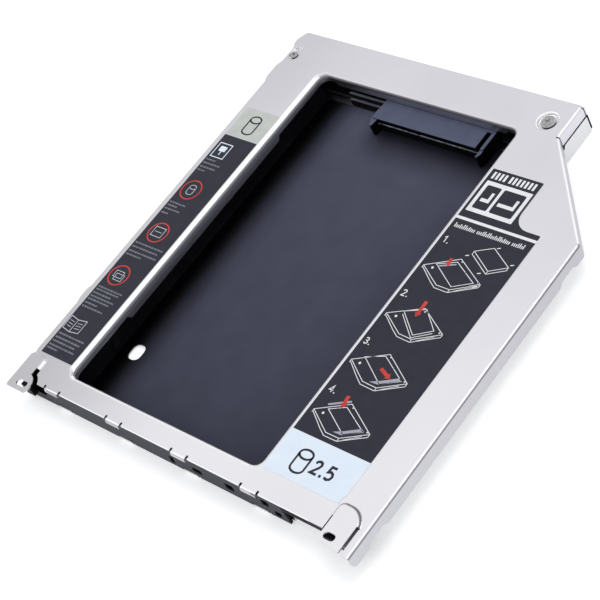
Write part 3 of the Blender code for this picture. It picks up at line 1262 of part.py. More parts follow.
def labels():
    """Two printed stickers: a strip left of the window and a stepped one right of it."""
    low = BODY_HEIGHT + LABEL_GAP
    left = LEFT_LABEL_SIDE
    strip = rectangle(left, LEFT_LABEL_FRONT, left + LEFT_LABEL_WIDTH, BODY_DEPTH - LEFT_LABEL_REAR,
                      LABEL_CORNER, 3)
    print_dark = material("label_dark", (0.035, 0.037, 0.052), 0.5)
    prism("left_label", [strip], low, low + LABEL, print_dark)
    x0, x1 = WINDOW_RIGHT + WINDOW_BEND + RIGHT_LABEL_SIDE, BODY_WIDTH - RIGHT_LABEL_MARGIN
    y0, y1 = RIGHT_LABEL_FRONT, CORNER_Y - RIGHT_LABEL_REAR
    y2 = y1 + RIGHT_LABEL_TAB_DEPTH
    tab = x1 - RIGHT_LABEL_TAB_IN
    clip_x = RIGHT_EAR_LEFT - RIGHT_EAR_RAMP - 2 * LABEL_GAP
    clip_y = RIGHT_EAR_BACK + RIGHT_EAR_RAMP + 2 * LABEL_GAP
    corner = LABEL_CORNER
    if x1 > clip_x and y0 < clip_y:
        front = [(clip_x, y0, 0), (clip_x, clip_y, 0), (x1, clip_y + RIGHT_LABEL_CLIP, 0)]
    else:
        front = [(x1, y0, corner)]
    outline = rounded([(x0, y0, corner)] + front + [(x1, y1, corner), (tab, y1, RIGHT_LABEL_COVE),
                      (tab, y2, corner), (x0, y2, corner)], steps=5)
    prism("right_label", [outline], low, low + LABEL, print_dark)


def clear_scene():
    for item in list(bpy.data.objects):
        bpy.data.objects.remove(item, do_unlink=True)


def build():
    global ROOT
    clear_scene()
    ROOT = bpy.data.objects.new("caddy_grid", None)
    bpy.context.scene.collection.objects.link(ROOT)
    proudest = max(proud for start, length, proud in side_tabs())
    ROOT.location = ((proudest - BODY_WIDTH) / 2, (EAR_REACH - BODY_DEPTH) / 2, 0.0)
    top_cover()
    bottom_cover()
    floor_film()
    front_bar()
    left_rail()
    right_frame()
    board_holder()
    post("rear_left_post", LEFT_SCREW, LEFT_DIMPLE_DEPTH)
    post("rear_right_post", RIGHT_SCREW, RIGHT_DIMPLE_DEPTH)
    cover_screw("rear_left_screw", LEFT_SCREW, LEFT_HEAD_RADIUS, LEFT_DIMPLE_DEPTH)
    cover_screw("rear_right_screw", RIGHT_SCREW, RIGHT_HEAD_RADIUS, RIGHT_DIMPLE_DEPTH)
    board_screws()
    adapter_board()
    drive_socket()
    socket_contacts()
    bay_plug()
    plug_contacts()
    board_parts()
    labels()


build()
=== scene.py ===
"""Looks of the laptop drive caddy: materials, printed labels, light, floor and camera.

Unless a name says otherwise, a length is in millimetres on the caddy's own grid: X from its left side,
Y from its front edge, Z from its underside.
"""
import math

import bmesh
import bpy
from mathutils import Matrix, Vector


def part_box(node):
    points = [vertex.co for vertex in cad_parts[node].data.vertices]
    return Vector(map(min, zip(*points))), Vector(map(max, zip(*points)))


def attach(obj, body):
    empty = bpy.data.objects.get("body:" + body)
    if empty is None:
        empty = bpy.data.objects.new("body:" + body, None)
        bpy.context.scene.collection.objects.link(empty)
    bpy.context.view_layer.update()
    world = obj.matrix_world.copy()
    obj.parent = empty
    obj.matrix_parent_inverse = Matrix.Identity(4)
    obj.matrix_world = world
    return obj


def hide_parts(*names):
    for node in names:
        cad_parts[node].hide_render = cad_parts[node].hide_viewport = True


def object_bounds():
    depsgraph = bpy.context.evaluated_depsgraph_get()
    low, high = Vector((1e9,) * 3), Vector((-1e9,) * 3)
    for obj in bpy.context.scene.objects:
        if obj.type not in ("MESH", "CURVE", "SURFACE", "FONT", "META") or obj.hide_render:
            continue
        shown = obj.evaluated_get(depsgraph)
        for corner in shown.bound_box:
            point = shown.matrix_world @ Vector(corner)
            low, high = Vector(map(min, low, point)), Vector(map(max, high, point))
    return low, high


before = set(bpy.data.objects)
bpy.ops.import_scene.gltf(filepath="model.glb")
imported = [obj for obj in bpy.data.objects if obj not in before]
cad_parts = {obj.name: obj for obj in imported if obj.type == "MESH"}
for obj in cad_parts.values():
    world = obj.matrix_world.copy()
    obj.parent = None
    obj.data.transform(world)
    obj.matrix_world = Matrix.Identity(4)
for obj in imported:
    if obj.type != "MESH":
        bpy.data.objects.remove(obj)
CAD_BOX = [list(corner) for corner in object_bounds()]

MM = 0.001
WIDTH, DEPTH, TOP = 128.0, 136.3, 9.5
FAR_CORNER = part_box("top_cover")[1]
GRID_ZERO = (FAR_CORNER[0] - WIDTH * MM, FAR_CORNER[1] - DEPTH * MM, 0.0)
X, Y, Z = 0, 1, 2


def place(x, y, z):
    """Point of the caddy's grid as a point of the frame, in metres."""
    return Vector((GRID_ZERO[X] + x * MM, GRID_ZERO[Y] + y * MM, z * MM))


# Node trees

# Sockets of a colour Mix node, by their places because their names repeat
MIX_SHARE, MIX_A, MIX_B, MIX_COLOUR = 0, 6, 7, 2
WHITE = (1, 1, 1, 1)


class Tree:
    """Short hand for a node tree."""

    def __init__(self, tree):
        self.tree = tree

    def add(self, kind, **values):
        """New node with its properties set."""
        node = self.tree.nodes.new(kind)
        for key, value in values.items():
            setattr(node, key, value)
        return node

    def feed(self, socket, value):
        """Link an output to an input socket, or set a plain number there."""
        if isinstance(value, float):
            socket.default_value = value
        else:
            self.tree.links.new(value, socket)

    def combine(self, operation, *values):
        """Values joined one after another by an operation."""
        total = values[0]
        for value in values[1:]:
            node = self.add("ShaderNodeMath", operation=operation)
            self.feed(node.inputs[0], total)
            self.feed(node.inputs[1], value)
            total = node.outputs[0]
        return total

    def seen_directly(self):
        """1 for rays from the camera, off glossy surfaces and through clear ones, otherwise 0."""
        path = self.add("ShaderNodeLightPath")
        rays = ("Is Camera Ray", "Is Glossy Ray", "Is Transmission Ray")
        return self.combine("MAXIMUM", *(path.outputs[ray] for ray in rays))

    def show(self, surface, output_type):
        """Link a shader to the tree's own output."""
        output = next(node for node in self.tree.nodes if node.type == output_type)
        self.feed(output.inputs["Surface"], surface)


class Finish(Tree):
    """Node tree of a material, toned by the place on the grid and by how the surface faces."""

    def __init__(self, name):
        self.material = bpy.data.materials.new(name)
        self.material.use_nodes = True
        super().__init__(self.material.node_tree)
        self.shader = self.tree.nodes["Principled BSDF"]

    def set(self, socket, value):
        """The shader's own value, the same all over."""
        self.shader.inputs[socket].default_value = value

    def noise(self, scale, detail):
        """Noise over the frame's own coordinates, with features about 1/scale metres across."""
        coords = self.add("ShaderNodeTexCoord")
        noise = self.add("ShaderNodeTexNoise")
        noise.inputs["Scale"].default_value = scale
        noise.inputs["Detail"].default_value = detail
        self.feed(noise.inputs["Vector"], coords.outputs["Object"])
        return noise.outputs["Fac"]

    def cloud(self, scale, detail, low, high, middle=(0.3, 0.7)):
        """Noise as a blend between two colours, over the middle of its range."""
        ramp = self.add("ShaderNodeValToRGB")
        for stop, position, colour in zip(ramp.color_ramp.elements, middle, (low, high)):
            stop.position = position
            stop.color = (*colour, 1.0)
        self.feed(ramp.inputs["Fac"], self.noise(scale, detail))
        return ramp.outputs["Color"]

    def along(self, axis, start, end, way="SMOOTHSTEP"):
        """Share from 0 to 1 between two places on an axis of the grid."""
        coords = self.add("ShaderNodeTexCoord")
        split = self.add("ShaderNodeSeparateXYZ")
        share = self.add("ShaderNodeMapRange", interpolation_type=way)
        self.feed(split.inputs[0], coords.outputs["Object"])
        self.feed(share.inputs["Value"], split.outputs[axis])
        share.inputs["From Min"].default_value = GRID_ZERO[axis] + start * MM
        share.inputs["From Max"].default_value = GRID_ZERO[axis] + end * MM
        return share.outputs["Result"]

    def facing(self, axis=Z):
        """How far the surface faces along an axis: 1 faces it, 0 stands beside it."""
        geometry = self.add("ShaderNodeNewGeometry")
        split = self.add("ShaderNodeSeparateXYZ")
        self.feed(split.inputs[0], geometry.outputs["Normal"])
        return split.outputs[axis]

    def product(self, *shares):
        """Shares multiplied with each other."""
        return self.combine("MULTIPLY", *shares)

    def zone(self, x=None, y=None, z=None, edge=0.2):
        """1 inside a block of the grid, 0 outside, with soft edges."""
        shares = []
        for axis, span in enumerate((x, y, z)):
            if span:
                shares += [self.along(axis, span[0] - edge, span[0]), self.along(axis, span[1] + edge, span[1])]
        return self.product(*shares)

    def tone(self, factor, stops):
        """Tones at places of a factor: a grey level each, or a colour."""
        ramp = self.add("ShaderNodeValToRGB")
        elements = ramp.color_ramp.elements
        while len(elements) < len(stops):
            elements.new(0.5)
        for element, (position, level) in zip(elements, stops):
            element.position = position
            element.color = (*level, 1.0) if isinstance(level, tuple) else (level, level, level, 1.0)
        self.feed(ramp.inputs["Fac"], factor)
        return ramp.outputs["Color"]

    def mixed(self, share, a, b, blend="MIX"):
        """Colour a where the share is 0, b where it is 1."""
        mix = self.add("ShaderNodeMix", data_type="RGBA", blend_type=blend)
        self.feed(mix.inputs[MIX_SHARE], share)
        self.feed(mix.inputs[MIX_A], a)
        self.feed(mix.inputs[MIX_B], b)
        return mix.outputs[MIX_COLOUR]

    def times(self, colour, tones):
        """Colour multiplied by tones."""
        return self.mixed(1.0, colour, tones, "MULTIPLY")

    def dimmed(self, colour, share, level):
        """Colour as it is where the share is 0, times a level where it is 1."""
        return self.times(colour, self.tone(share, ((0.0, 1.0), (1.0, level))))

    def shaded(self, colour, zone, factor, stops):
        """Colour multiplied by tones of a factor, inside a zone."""
        return self.mixed(zone, colour, self.times(colour, self.tone(factor, stops)))

    def surface(self, colour, grain, roughness, bump):
        """The material, from its colour and a grain that sets its range of roughness and its bump."""
        self.feed(self.shader.inputs["Base Color"], colour)
        scale, detail, depth = grain
        fine = self.noise(scale, detail)
        spread = self.add("ShaderNodeMapRange")
        spread.inputs["To Min"].default_value, spread.inputs["To Max"].default_value = roughness
        self.feed(spread.inputs["Value"], fine)
        self.feed(self.shader.inputs["Roughness"], spread.outputs["Result"])
        relief = self.add("ShaderNodeBump")
        relief.inputs["Strength"].default_value = bump
        relief.inputs["Distance"].default_value = depth
        self.feed(relief.inputs["Height"], fine)
        self.feed(self.shader.inputs["Normal"], relief.outputs["Normal"])
        return self.material


# Materials

# Grains: scale per metre, detail, depth in metres
SHEET_GRAIN = (9000, 3.0, 0.00002)
SCREW_GRAIN = (14000, 3.0, 0.00002)
CONTACT_GRAIN = (20000, 3.0, 0.00002)
MOULD_GRAIN = (5200, 4.0, 0.00003)
FILM_GRAIN = (2600, 4.0, 0.00003)
BOARD_GRAIN = (900, 4.0, 0.00003)
PRINT_GRAIN = (2600, 3.0, 0.00002)

# Clouds in a material's tone: scale per metre, detail
SHEET_CLOUD = (45, 4.0)
SCREW_CLOUD = (900, 4.0)
MOULD_CLOUD = (130, 4.0)
SOCKET_CLOUD = (220, 4.0)
PRINT_CLOUD = (300, 5.0)

BLACK_TONES = ((0.003, 0.003, 0.004), (0.006, 0.006, 0.008))


def metal(name, low, high, roughness, grain=SHEET_GRAIN, cloud=SHEET_CLOUD):
    """Metal with a soft cloud in its tone and a fine grain in its surface."""
    n = Finish(name)
    n.set("Metallic", 1.0)
    return n.surface(n.cloud(*cloud, low, high), grain, roughness, 0.05)


def plastic(name, low, high, roughness, grain=MOULD_GRAIN, bump=0.25, specular=0.5):
    """Moulded plastic with a faint cloud and a fine spark-eroded texture."""
    n = Finish(name)
    n.set("Specular IOR Level", specular)
    return n.surface(n.cloud(*MOULD_CLOUD, low, high), grain, roughness, bump)


def print_ink(name, low, high):
    """Printed sticker film with a slightly uneven gloss."""
    n = Finish(name)
    n.set("Specular IOR Level", 0.25)
    return n.surface(n.cloud(*PRINT_CLOUD, low, high), PRINT_GRAIN, (0.42, 0.55), 0.06)


# Painted shade and painted highlights on the cover's bends, by how far the surface faces up
WING_FOLD_SHADE = ((0.0, 0.74), (0.2, 0.70), (0.34, 0.38), (0.74, 0.38), (0.87, 0.60), (0.94, 0.92), (0.98, 1.0))
DIAGONAL_FOLD_SHADE = ((0.0, 0.66), (0.3, 0.60), (0.5, 0.9), (0.6, 1.0))
REAR_FOLD_SHADE = ((0.0, 0.88), (0.08, 0.60), (0.2, 0.30), (0.5, 0.22), (0.72, 0.27), (0.87, 0.62), (0.96, 1.0))
HOOK_BEND_SHADE = ((0.0, 0.80), (0.5, 0.64), (0.92, 0.70), (0.98, 0.96))
ROLLED_EDGE_LIGHT_AND_SHADE = (
    (0.0, (0.80, 0.80, 0.85)), (0.14, (0.55, 0.55, 0.60)), (0.28, (0.20, 0.20, 0.23)), (0.5, (0.058, 0.058, 0.068)),
    (0.62, (0.072, 0.072, 0.085)), (0.71, (0.19, 0.19, 0.21)), (0.80, (0.33, 0.33, 0.36)), (0.88, (0.36, 0.36, 0.39)),
    (0.93, (0.48, 0.48, 0.51)), (0.965, (0.74, 0.74, 0.78)))
# Painted shade on the wall of the arched recess, by how far it faces the rear
ARCH_WALL_SHADE = ((0.0, 1.0), (0.3, 0.72), (0.7, 0.5), (1.0, 0.5))
# Shares by how far the surface faces up: bends that get a painted highlight, and all that isn't flat
SHINING_RIDGE = ((0.6, 0.0), (0.75, 1.0), (0.96, 1.0), (0.99, 0.0))
SHINING_RIM = ((0.6, 0.0), (0.8, 1.0), (0.97, 1.0), (0.995, 0.0))
SHINING_DISH = ((0.3, 1.0), (0.97, 1.0), (0.995, 0.0))
BENT = ((0.985, 1.0), (0.998, 0.0))
BENT_CLEARLY = ((0.93, 1.0), (0.98, 0.0))


def cover_metal():
    """Satin plated sheet, with painted shade and painted highlights at its folds, its rolled window edges, its screw
    seats and its front edge.
    """
    n = Finish("cover_metal")
    n.set("Metallic", 1.0)
    colour = n.cloud(*SHEET_CLOUD, (0.745, 0.740, 0.785), (0.775, 0.770, 0.815))
    # Colour of the painted highlights
    painted_highlight = n.cloud(300, 2.0, (0.93, 0.93, 0.95), (0.97, 0.97, 0.98))

    # Painted shade: darker to the left and to the rear, around the left ear and beside the left label
    colour = n.times(colour, n.tone(n.along(X, -2.0, 40.0), ((0.0, 0.90), (0.5, 0.98), (1.0, 1.0))))
    painted_shade_rear_to_front = n.tone(n.along(Y, 140.0, 5.0), (
        (0.0, (0.855, 0.848, 0.857)), (0.5, (0.928, 0.92, 0.925)), (1.0, (0.995, 1.0, 0.985))))
    colour = n.times(colour, painted_shade_rear_to_front)
    painted_shade_near_left_ear = n.product(n.along(X, 62.0, 8.0), n.along(Y, 45.0, 0.0))
    colour = n.dimmed(colour, painted_shade_near_left_ear, 0.72)
    painted_shade_beside_label = n.product(n.along(X, 14.0, 1.0), n.along(Y, 95.0, 50.0), n.along(Y, 8.0, 24.0))
    colour = n.dimmed(colour, painted_shade_beside_label, 0.89)

    # Painted shade on the wing's bends and flanges, a painted highlight on the ridge of its diagonal, and painted
    # shade on the bend behind the window
    wing = n.product(n.along(X, 92.0, 93.0), n.along(Y, 95.6, 95.2))
    colour = n.shaded(colour, wing, n.facing(), WING_FOLD_SHADE)
    diagonal = n.zone((92.0, 130.0), (95.4, 124.4))
    colour = n.shaded(colour, diagonal, n.facing(), DIAGONAL_FOLD_SHADE)
    colour = n.mixed(n.product(diagonal, n.tone(n.facing(), SHINING_RIDGE)), colour, painted_highlight)
    behind_window = n.zone((17.0, 90.0), (120.4, 124.1))
    colour = n.shaded(colour, behind_window, n.facing(), REAR_FOLD_SHADE)

    # Painted shade on the wall of the arched recess at the right ear
    arch = n.product(n.zone((116.0, 126.4), (0.0, 9.0)), n.tone(n.facing(), BENT_CLEARLY))
    colour = n.shaded(colour, arch, n.facing(Y), ARCH_WALL_SHADE)

    # Painted shade and highlight on the roll left of the window, a painted highlight line along its top, and painted
    # highlights in the dished screw seats
    roll_light_and_shade = n.product(n.along(X, 15.4, 15.6), n.along(X, 20.5, 18.2), n.along(Y, 4.4, 4.8),
                     n.along(Y, 125.3, 124.9), n.tone(n.facing(), BENT))
    colour = n.mixed(roll_light_and_shade, colour, n.tone(n.facing(), ROLLED_EDGE_LIGHT_AND_SHADE))
    roll_top_highlight = n.product(n.zone((15.6, 16.6)), n.along(Y, 7.2, 9.2), n.along(Y, 123.5, 119.5))
    colour = n.mixed(roll_top_highlight, colour, painted_highlight)
    seat_highlight_zone = n.combine("MAXIMUM", n.zone((91.0, 100.0), (123.9, 133.0)), n.zone((1.0, 6.5), (123.5, 131.0)))
    colour = n.mixed(n.product(seat_highlight_zone, n.tone(n.facing(), SHINING_DISH)), colour, painted_highlight)

    # Front: painted shade on the hooks, and painted highlight lines on the window's rim and on the sheet's cut edge
    front_x = (14.0, 112.0)
    colour = n.shaded(colour, n.zone(front_x, (-2.5, -0.16), edge=0.06), n.facing(), HOOK_BEND_SHADE)
    rim_highlight = n.product(n.zone((18.0, 88.5), (5.0, 6.6)), n.tone(n.facing(), SHINING_RIM))
    colour = n.mixed(rim_highlight, colour, painted_highlight)
    colour = n.mixed(n.zone(front_x, (-0.08, 0.12), edge=0.08), colour, painted_highlight)
    return n.surface(colour, SHEET_GRAIN, (0.30, 0.36), 0.05)


def film_plastic():
    """Satin film on the floor, with painted shade: black beside the left rail, darker to the front and the right end,
    and a painted shadow below the socket.
    """
    n = Finish("bay_film")
    n.set("Specular IOR Level", 0.06)
    colour = n.cloud(*MOULD_CLOUD, (0.082, 0.086, 0.132), (0.094, 0.099, 0.150))
    # Painted shade: black beside the left rail, dimmer at the right end
    painted_shade_left_to_right = n.tone(n.along(X, 20.0, 95.0, "LINEAR"), (
        (0.0, 0.0), (0.035, 0.06), (0.08, 0.38), (0.13, 0.80), (0.19, 0.96), (0.6, 1.0), (0.78, 0.88), (1.0, 0.80)))
    colour = n.times(colour, painted_shade_left_to_right)
    # Painted shade: darker towards the front
    painted_shade_front_to_rear = n.tone(n.along(Y, 4.0, 124.0, "LINEAR"), (
        (0.0, 0.52), (0.22, 0.62), (0.5, 0.67), (0.8, 0.76), (1.0, 1.0)))
    colour = n.times(colour, painted_shade_front_to_rear)
    # Painted shadow below the socket
    painted_shadow_below_socket = n.product(n.along(Y, 101.0, 117.0), n.along(X, 34.0, 46.0))
    colour = n.dimmed(colour, painted_shadow_below_socket, 0.12)
    return n.surface(colour, FILM_GRAIN, (0.34, 0.42), 0.1)


def bar_plastic():
    """Moulded bar with a slate grey face, and painted shade: black below the left ear, in its slots and in a line
    below the cover's edge.
    """
    n = Finish("bar_moulding")
    n.set("Specular IOR Level", 0.10)
    colour = n.cloud(*MOULD_CLOUD, (0.025, 0.026, 0.038), (0.033, 0.035, 0.049))
    # Painted shade below the left ear
    colour = n.times(colour, n.tone(n.along(X, 5.0, 14.0), ((0.0, 0.05), (1.0, 1.0))))
    # Painted shade on the faces set back in the slots
    painted_shade_in_slots = n.along(Y, 0.4, 0.8)
    colour = n.dimmed(colour, painted_shade_in_slots, 0.05)
    # Painted shadow in a line below the cover's edge
    painted_shadow_below_cover = n.product(n.along(X, 20.0, 60.0), n.along(Z, 7.7, 8.3))
    colour = n.dimmed(colour, painted_shadow_below_cover, 0.25)
    return n.surface(colour, MOULD_GRAIN, (0.42, 0.54), 0.2)


def holder_plastic():
    """Black moulding with a painted highlight on its two steps in front of the board."""
    n = Finish("holder_moulding")
    n.set("Specular IOR Level", 0.05)
    colour = n.cloud(*MOULD_CLOUD, *BLACK_TONES)
    # Colour of the painted highlight on the steps' upward faces
    light = n.cloud(700, 3.0, (0.085, 0.088, 0.112), (0.125, 0.128, 0.160))
    steps = n.product(n.combine("GREATER_THAN", n.facing(), 0.9), n.along(Y, 123.1, 122.9))
    return n.surface(n.mixed(steps, colour, light), MOULD_GRAIN, (0.4, 0.5), 0.2)


def socket_plastic():
    """Blue-slate moulding, with painted shade: near black on its standing faces and black in the mouths; and a painted
    highlight on the lip below the mouths.
    """
    n = Finish("socket_moulding")
    n.set("Specular IOR Level", 0.12)
    colour = n.cloud(*SOCKET_CLOUD, (0.078, 0.086, 0.138), (0.096, 0.106, 0.168))
    # Painted shade on the faces that stand upright
    colour = n.times(colour, n.tone(n.facing(), ((0.0, 0.02), (0.6, 0.06), (0.9, 1.0))))
    mouths_x = (42.0, 79.0)
    # Painted shade in the mouths
    dark = n.cloud(*SOCKET_CLOUD, (0.001, 0.001, 0.002), (0.002, 0.002, 0.003))
    colour = n.mixed(n.zone(mouths_x, (115.9, 121.0), (3.0, 5.2)), colour, dark)
    # Painted highlight on the lip below the mouths
    painted_highlight = n.cloud(900, 3.0, (0.16, 0.17, 0.23), (0.46, 0.47, 0.56))
    colour = n.mixed(n.zone(mouths_x, (115.6, 115.95), (3.86, 4.2), 0.03), colour, painted_highlight)
    return n.surface(colour, MOULD_GRAIN, (0.32, 0.42), 0.2)


def frame_plastic():
    """Black moulding, grey below the slit beside the right ear."""
    n = Finish("frame_moulding")
    n.set("Specular IOR Level", 0.05)
    colour = n.cloud(*MOULD_CLOUD, *BLACK_TONES)
    # Grey in place of black below the slit beside the right ear
    slit_grey = n.cloud(500, 3.0, (0.26, 0.26, 0.28), (0.34, 0.34, 0.36))
    below_slit = n.zone((123.6, 128.0), (-5.0, 4.5))
    return n.surface(n.mixed(below_slit, colour, slit_grey), MOULD_GRAIN, (0.45, 0.58), 0.25)


COVER = cover_metal()
TRAY = metal("tray_metal", (0.62, 0.63, 0.64), (0.69, 0.70, 0.71), (0.26, 0.34))
STEEL = metal("screw_steel", (0.27, 0.27, 0.275), (0.50, 0.50, 0.51), (0.24, 0.36), SCREW_GRAIN, SCREW_CLOUD)
GOLD = metal("contact_gold", (0.78, 0.60, 0.30), (0.88, 0.72, 0.42), (0.2, 0.3), CONTACT_GRAIN)
FILM = film_plastic()
BAR = bar_plastic()
HOLDER = holder_plastic()
FRAME = frame_plastic()
BLACK = plastic("black_moulding", *BLACK_TONES, (0.45, 0.58), specular=0.05)
SLATE = socket_plastic()
GREEN = plastic("board_laminate", (0.0015, 0.006, 0.0045), (0.003, 0.011, 0.008), (0.36, 0.46), BOARD_GRAIN, 0.2, 0.08)
OCHRE = plastic("capacitor_case", (0.50, 0.32, 0.07), (0.62, 0.42, 0.11), (0.35, 0.45))

INK_DARK = print_ink("label_ground", (0.012, 0.013, 0.025), (0.017, 0.018, 0.032))
INK_PALE = print_ink("label_pale", (0.50, 0.53, 0.50), (0.58, 0.60, 0.57))
INK_SIGN = print_ink("label_sign", (0.49, 0.51, 0.55), (0.57, 0.59, 0.63))
INK_WHITE = print_ink("label_white", (0.78, 0.79, 0.82), (0.86, 0.87, 0.89))
INK_BLUE = print_ink("label_blue_white", (0.75, 0.84, 0.96), (0.80, 0.88, 0.98))
INK_GREY = print_ink("label_grey", (0.17, 0.18, 0.21), (0.25, 0.26, 0.30))
INK_SHADE = print_ink("label_shade", (0.34, 0.35, 0.42), (0.44, 0.45, 0.52))
INK_RED = print_ink("label_red", (0.50, 0.035, 0.03), (0.62, 0.06, 0.05))

# Finishes of the CAD pieces, by name or by how the name starts; the stickers are replaced further down
FINISHES = {
    "top_cover": COVER, "bottom_cover": TRAY, "floor_film": FILM, "front_bar": BAR, "left_rail": BLACK,
    "right_frame": FRAME, "board_holder": HOLDER, "adapter_board": GREEN, "drive_socket": SLATE,
    "bay_plug": BLACK,
}
STARTS = (("rear_", STEEL), ("board_screw", STEEL), ("socket_", GOLD), ("plug_", GOLD),
          ("supply_capacitor", OCHRE))


def finish_for(name):
    """Finish of a carried-over piece, or None for a sticker."""
    if name in FINISHES:
        return FINISHES[name]
    return next((finish for start, finish in STARTS if name.startswith(start)), None)


for name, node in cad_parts.items():
    finish = finish_for(name)
    if finish is None:
        continue
    if not node.data.materials:
        node.data.materials.append(finish)
    for slot in node.material_slots:
        slot.material = finish


# Printed labels

# Lowest and highest level of the stock, which lies on the cover, and of the prints above it
STOCK = (9.502, 9.575)
GROUND = (9.57, 9.588)
MARK = (9.584, 9.602)
ACCENT = (9.598, 9.616)
TOP_MARK = (9.612, 9.63)

INSET = 0.03           # a ground ends this far inside its stock
MITRE_LIMIT = 0.45     # least share of a corner's true offset, so that sharp corners stay short
WORD_GAP, SHORTEST_WORD = 0.22, 0.3


class Print:
    """All closed shapes of one ink between two levels."""

    def __init__(self, levels):
        self.shape = bmesh.new()
        self.levels = levels

    def ring_of(self, loop, level):
        return [self.shape.verts.new(place(x, y, level)) for x, y in loop]

    def plate(self, loop):
        """Filled shape."""
        low, high = (self.ring_of(loop, level) for level in self.levels)
        self.shape.faces.new(low)
        self.shape.faces.new(high)
        for i in range(len(loop)):
            k = (i + 1) % len(loop)
            self.shape.faces.new((low[i], low[k], high[k], high[i]))

    def bar(self, x0, y0, x1, y1, corner=0.0):
        """Filled rectangle, with rounded corners if a radius is given."""
        self.plate(rounded(((x0, y0), (x1, y0), (x1, y1), (x0, y1)), corner))

    def line(self, points, width, closed=False):
        """Stroke of an even width with true corners."""
        sides = [offset(points, way * width / 2, closed) for way in (1, -1)]
        rings = [[self.ring_of(side, level) for side in sides] for level in self.levels]
        count = len(points)
        (low_a, low_b), (high_a, high_b) = rings
        for i in range(count if closed else count - 1):
            k = (i + 1) % count
            for a, b in ((low_a, low_b), (high_a, high_b), (low_a, high_a), (low_b, high_b)):
                self.shape.faces.new((a[i], a[k], b[k], b[i]))
        if not closed:
            for i in (0, -1):
                self.shape.faces.new((low_a[i], low_b[i], high_b[i], high_a[i]))

    def words(self, x0, x1, y, height, lengths):
        """Row of short bars that stands in for a line of words."""
        x, i = x0, 0
        while x < x1 - SHORTEST_WORD:
            end = min(x + lengths[i % len(lengths)], x1)
            self.bar(x, y, end, y + height)
            x, i = end + WORD_GAP, i + 1

    def finish(self, name, ink, replaced=None):
        """Make the piece; it may replace a CAD node."""
        bmesh.ops.recalc_face_normals(self.shape, faces=self.shape.faces)
        mesh = bpy.data.meshes.new(name)
        self.shape.to_mesh(mesh)
        self.shape.free()
        mesh.materials.append(ink)
        piece = bpy.data.objects.new(name, mesh)
        bpy.context.scene.collection.objects.link(piece)
        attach(piece, "root")
        if replaced:
            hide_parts(replaced)


def rounded(corners, radius, steps=3):
    """Corners cut as arcs; a radius may be given for each corner."""
    count = len(corners)
    radii = radius if isinstance(radius, (list, tuple)) else [radius] * count
    points = []
    for i, (corner, size) in enumerate(zip(corners, radii)):
        here = Vector(corner)
        if size <= 0:
            points.append(tuple(here))
            continue
        before = (Vector(corners[i - 1]) - here).normalized()
        after = (Vector(corners[(i + 1) % count]) - here).normalized()
        half = before.angle(after) / 2
        centre = here + (before + after).normalized() * size / math.sin(half)
        reach = size / math.tan(half)
        first, second = here + before * reach - centre, here + after * reach - centre
        turn = first.angle_signed(second)
        for step in range(steps + 1):
            spoke = first.copy()
            spoke.rotate(Matrix.Rotation(-turn * step / steps, 2))
            points.append(tuple(centre + spoke))
    return points


def offset(points, distance, closed):
    """Points moved to their left by a distance."""
    count = len(points)
    moved = []
    for i, point in enumerate(points):
        normals = []
        for a, b in ((i - 1, i), (i, i + 1)):
            if closed or (a >= 0 and b < count):
                along = (Vector(points[b % count]) - Vector(points[a])).normalized()
                normals.append(Vector((-along.y, along.x)))
        mean = sum(normals, Vector((0, 0))).normalized()
        moved.append(tuple(Vector(point) + mean * distance / max(mean.dot(normals[0]), MITRE_LIMIT)))
    return moved


def circle(x, y, radius, steps=36):
    """Points around a circle."""
    return [(x + radius * math.cos(2 * math.pi * i / steps), y + radius * math.sin(2 * math.pi * i / steps))
            for i in range(steps)]


def half_ellipse(x, y, reach_x, reach_y, start):
    """Points around one half of an ellipse, from an angle in degrees."""
    angles = [math.radians(angle) for angle in range(start, start + 181, 20)]
    return [(x + reach_x * math.cos(angle), y + reach_y * math.sin(angle)) for angle in angles]


def arrow(tail, tip, width):
    """Plain arrow with a head twice as wide as its shaft."""
    tail, tip = Vector(tail), Vector(tip)
    along = (tip - tail).normalized()
    side = Vector((-along.y, along.x))
    head_length, half = width * 1.35, width * 0.5
    neck = tip - along * head_length
    return [tuple(point) for point in (
        tail - side * half, neck - side * half, neck - side * width, tip, neck + side * width,
        neck + side * half, tail + side * half)]


# Strokes of the digits, for a height of 1
DIGITS = {
    1: ((0.12, 0.8), (0.42, 1.0), (0.42, 0.0)),
    2: ((0.04, 0.76), (0.13, 0.93), (0.32, 1.0), (0.5, 0.93), (0.57, 0.76), (0.48, 0.54), (0.04, 0.0), (0.6, 0.0)),
    3: ((0.06, 0.86), (0.2, 0.98), (0.4, 0.98), (0.54, 0.85), (0.54, 0.68), (0.4, 0.55), (0.22, 0.53),
        (0.42, 0.49), (0.57, 0.34), (0.57, 0.17), (0.4, 0.02), (0.2, 0.02), (0.04, 0.16)),
    4: ((0.45, 0.0), (0.45, 1.0), (0.02, 0.3), (0.64, 0.3)),
    5: ((0.56, 1.0), (0.12, 1.0), (0.06, 0.55), (0.3, 0.63), (0.5, 0.53), (0.58, 0.33), (0.5, 0.1), (0.28, 0.0),
        (0.02, 0.08)),
}


def digit(ink, number, x, y, height, weight):
    ink.line([(x + a * height, y + b * height) for a, b in DIGITS[number]], weight)


def drum(ink, x0, x1, y0, y1, weight):
    """Upright drum, the usual sign for a disk, with an open lid."""
    middle, half = (x0 + x1) / 2, (x1 - x0) / 2
    lid = half * 0.62
    top, foot = y1 - lid, y0 + lid
    ink.line(half_ellipse(middle, top, half, lid, 0) + half_ellipse(middle, foot, half, lid, 180), weight, closed=True)
    ink.line(half_ellipse(middle, top, half, lid, 180), weight)


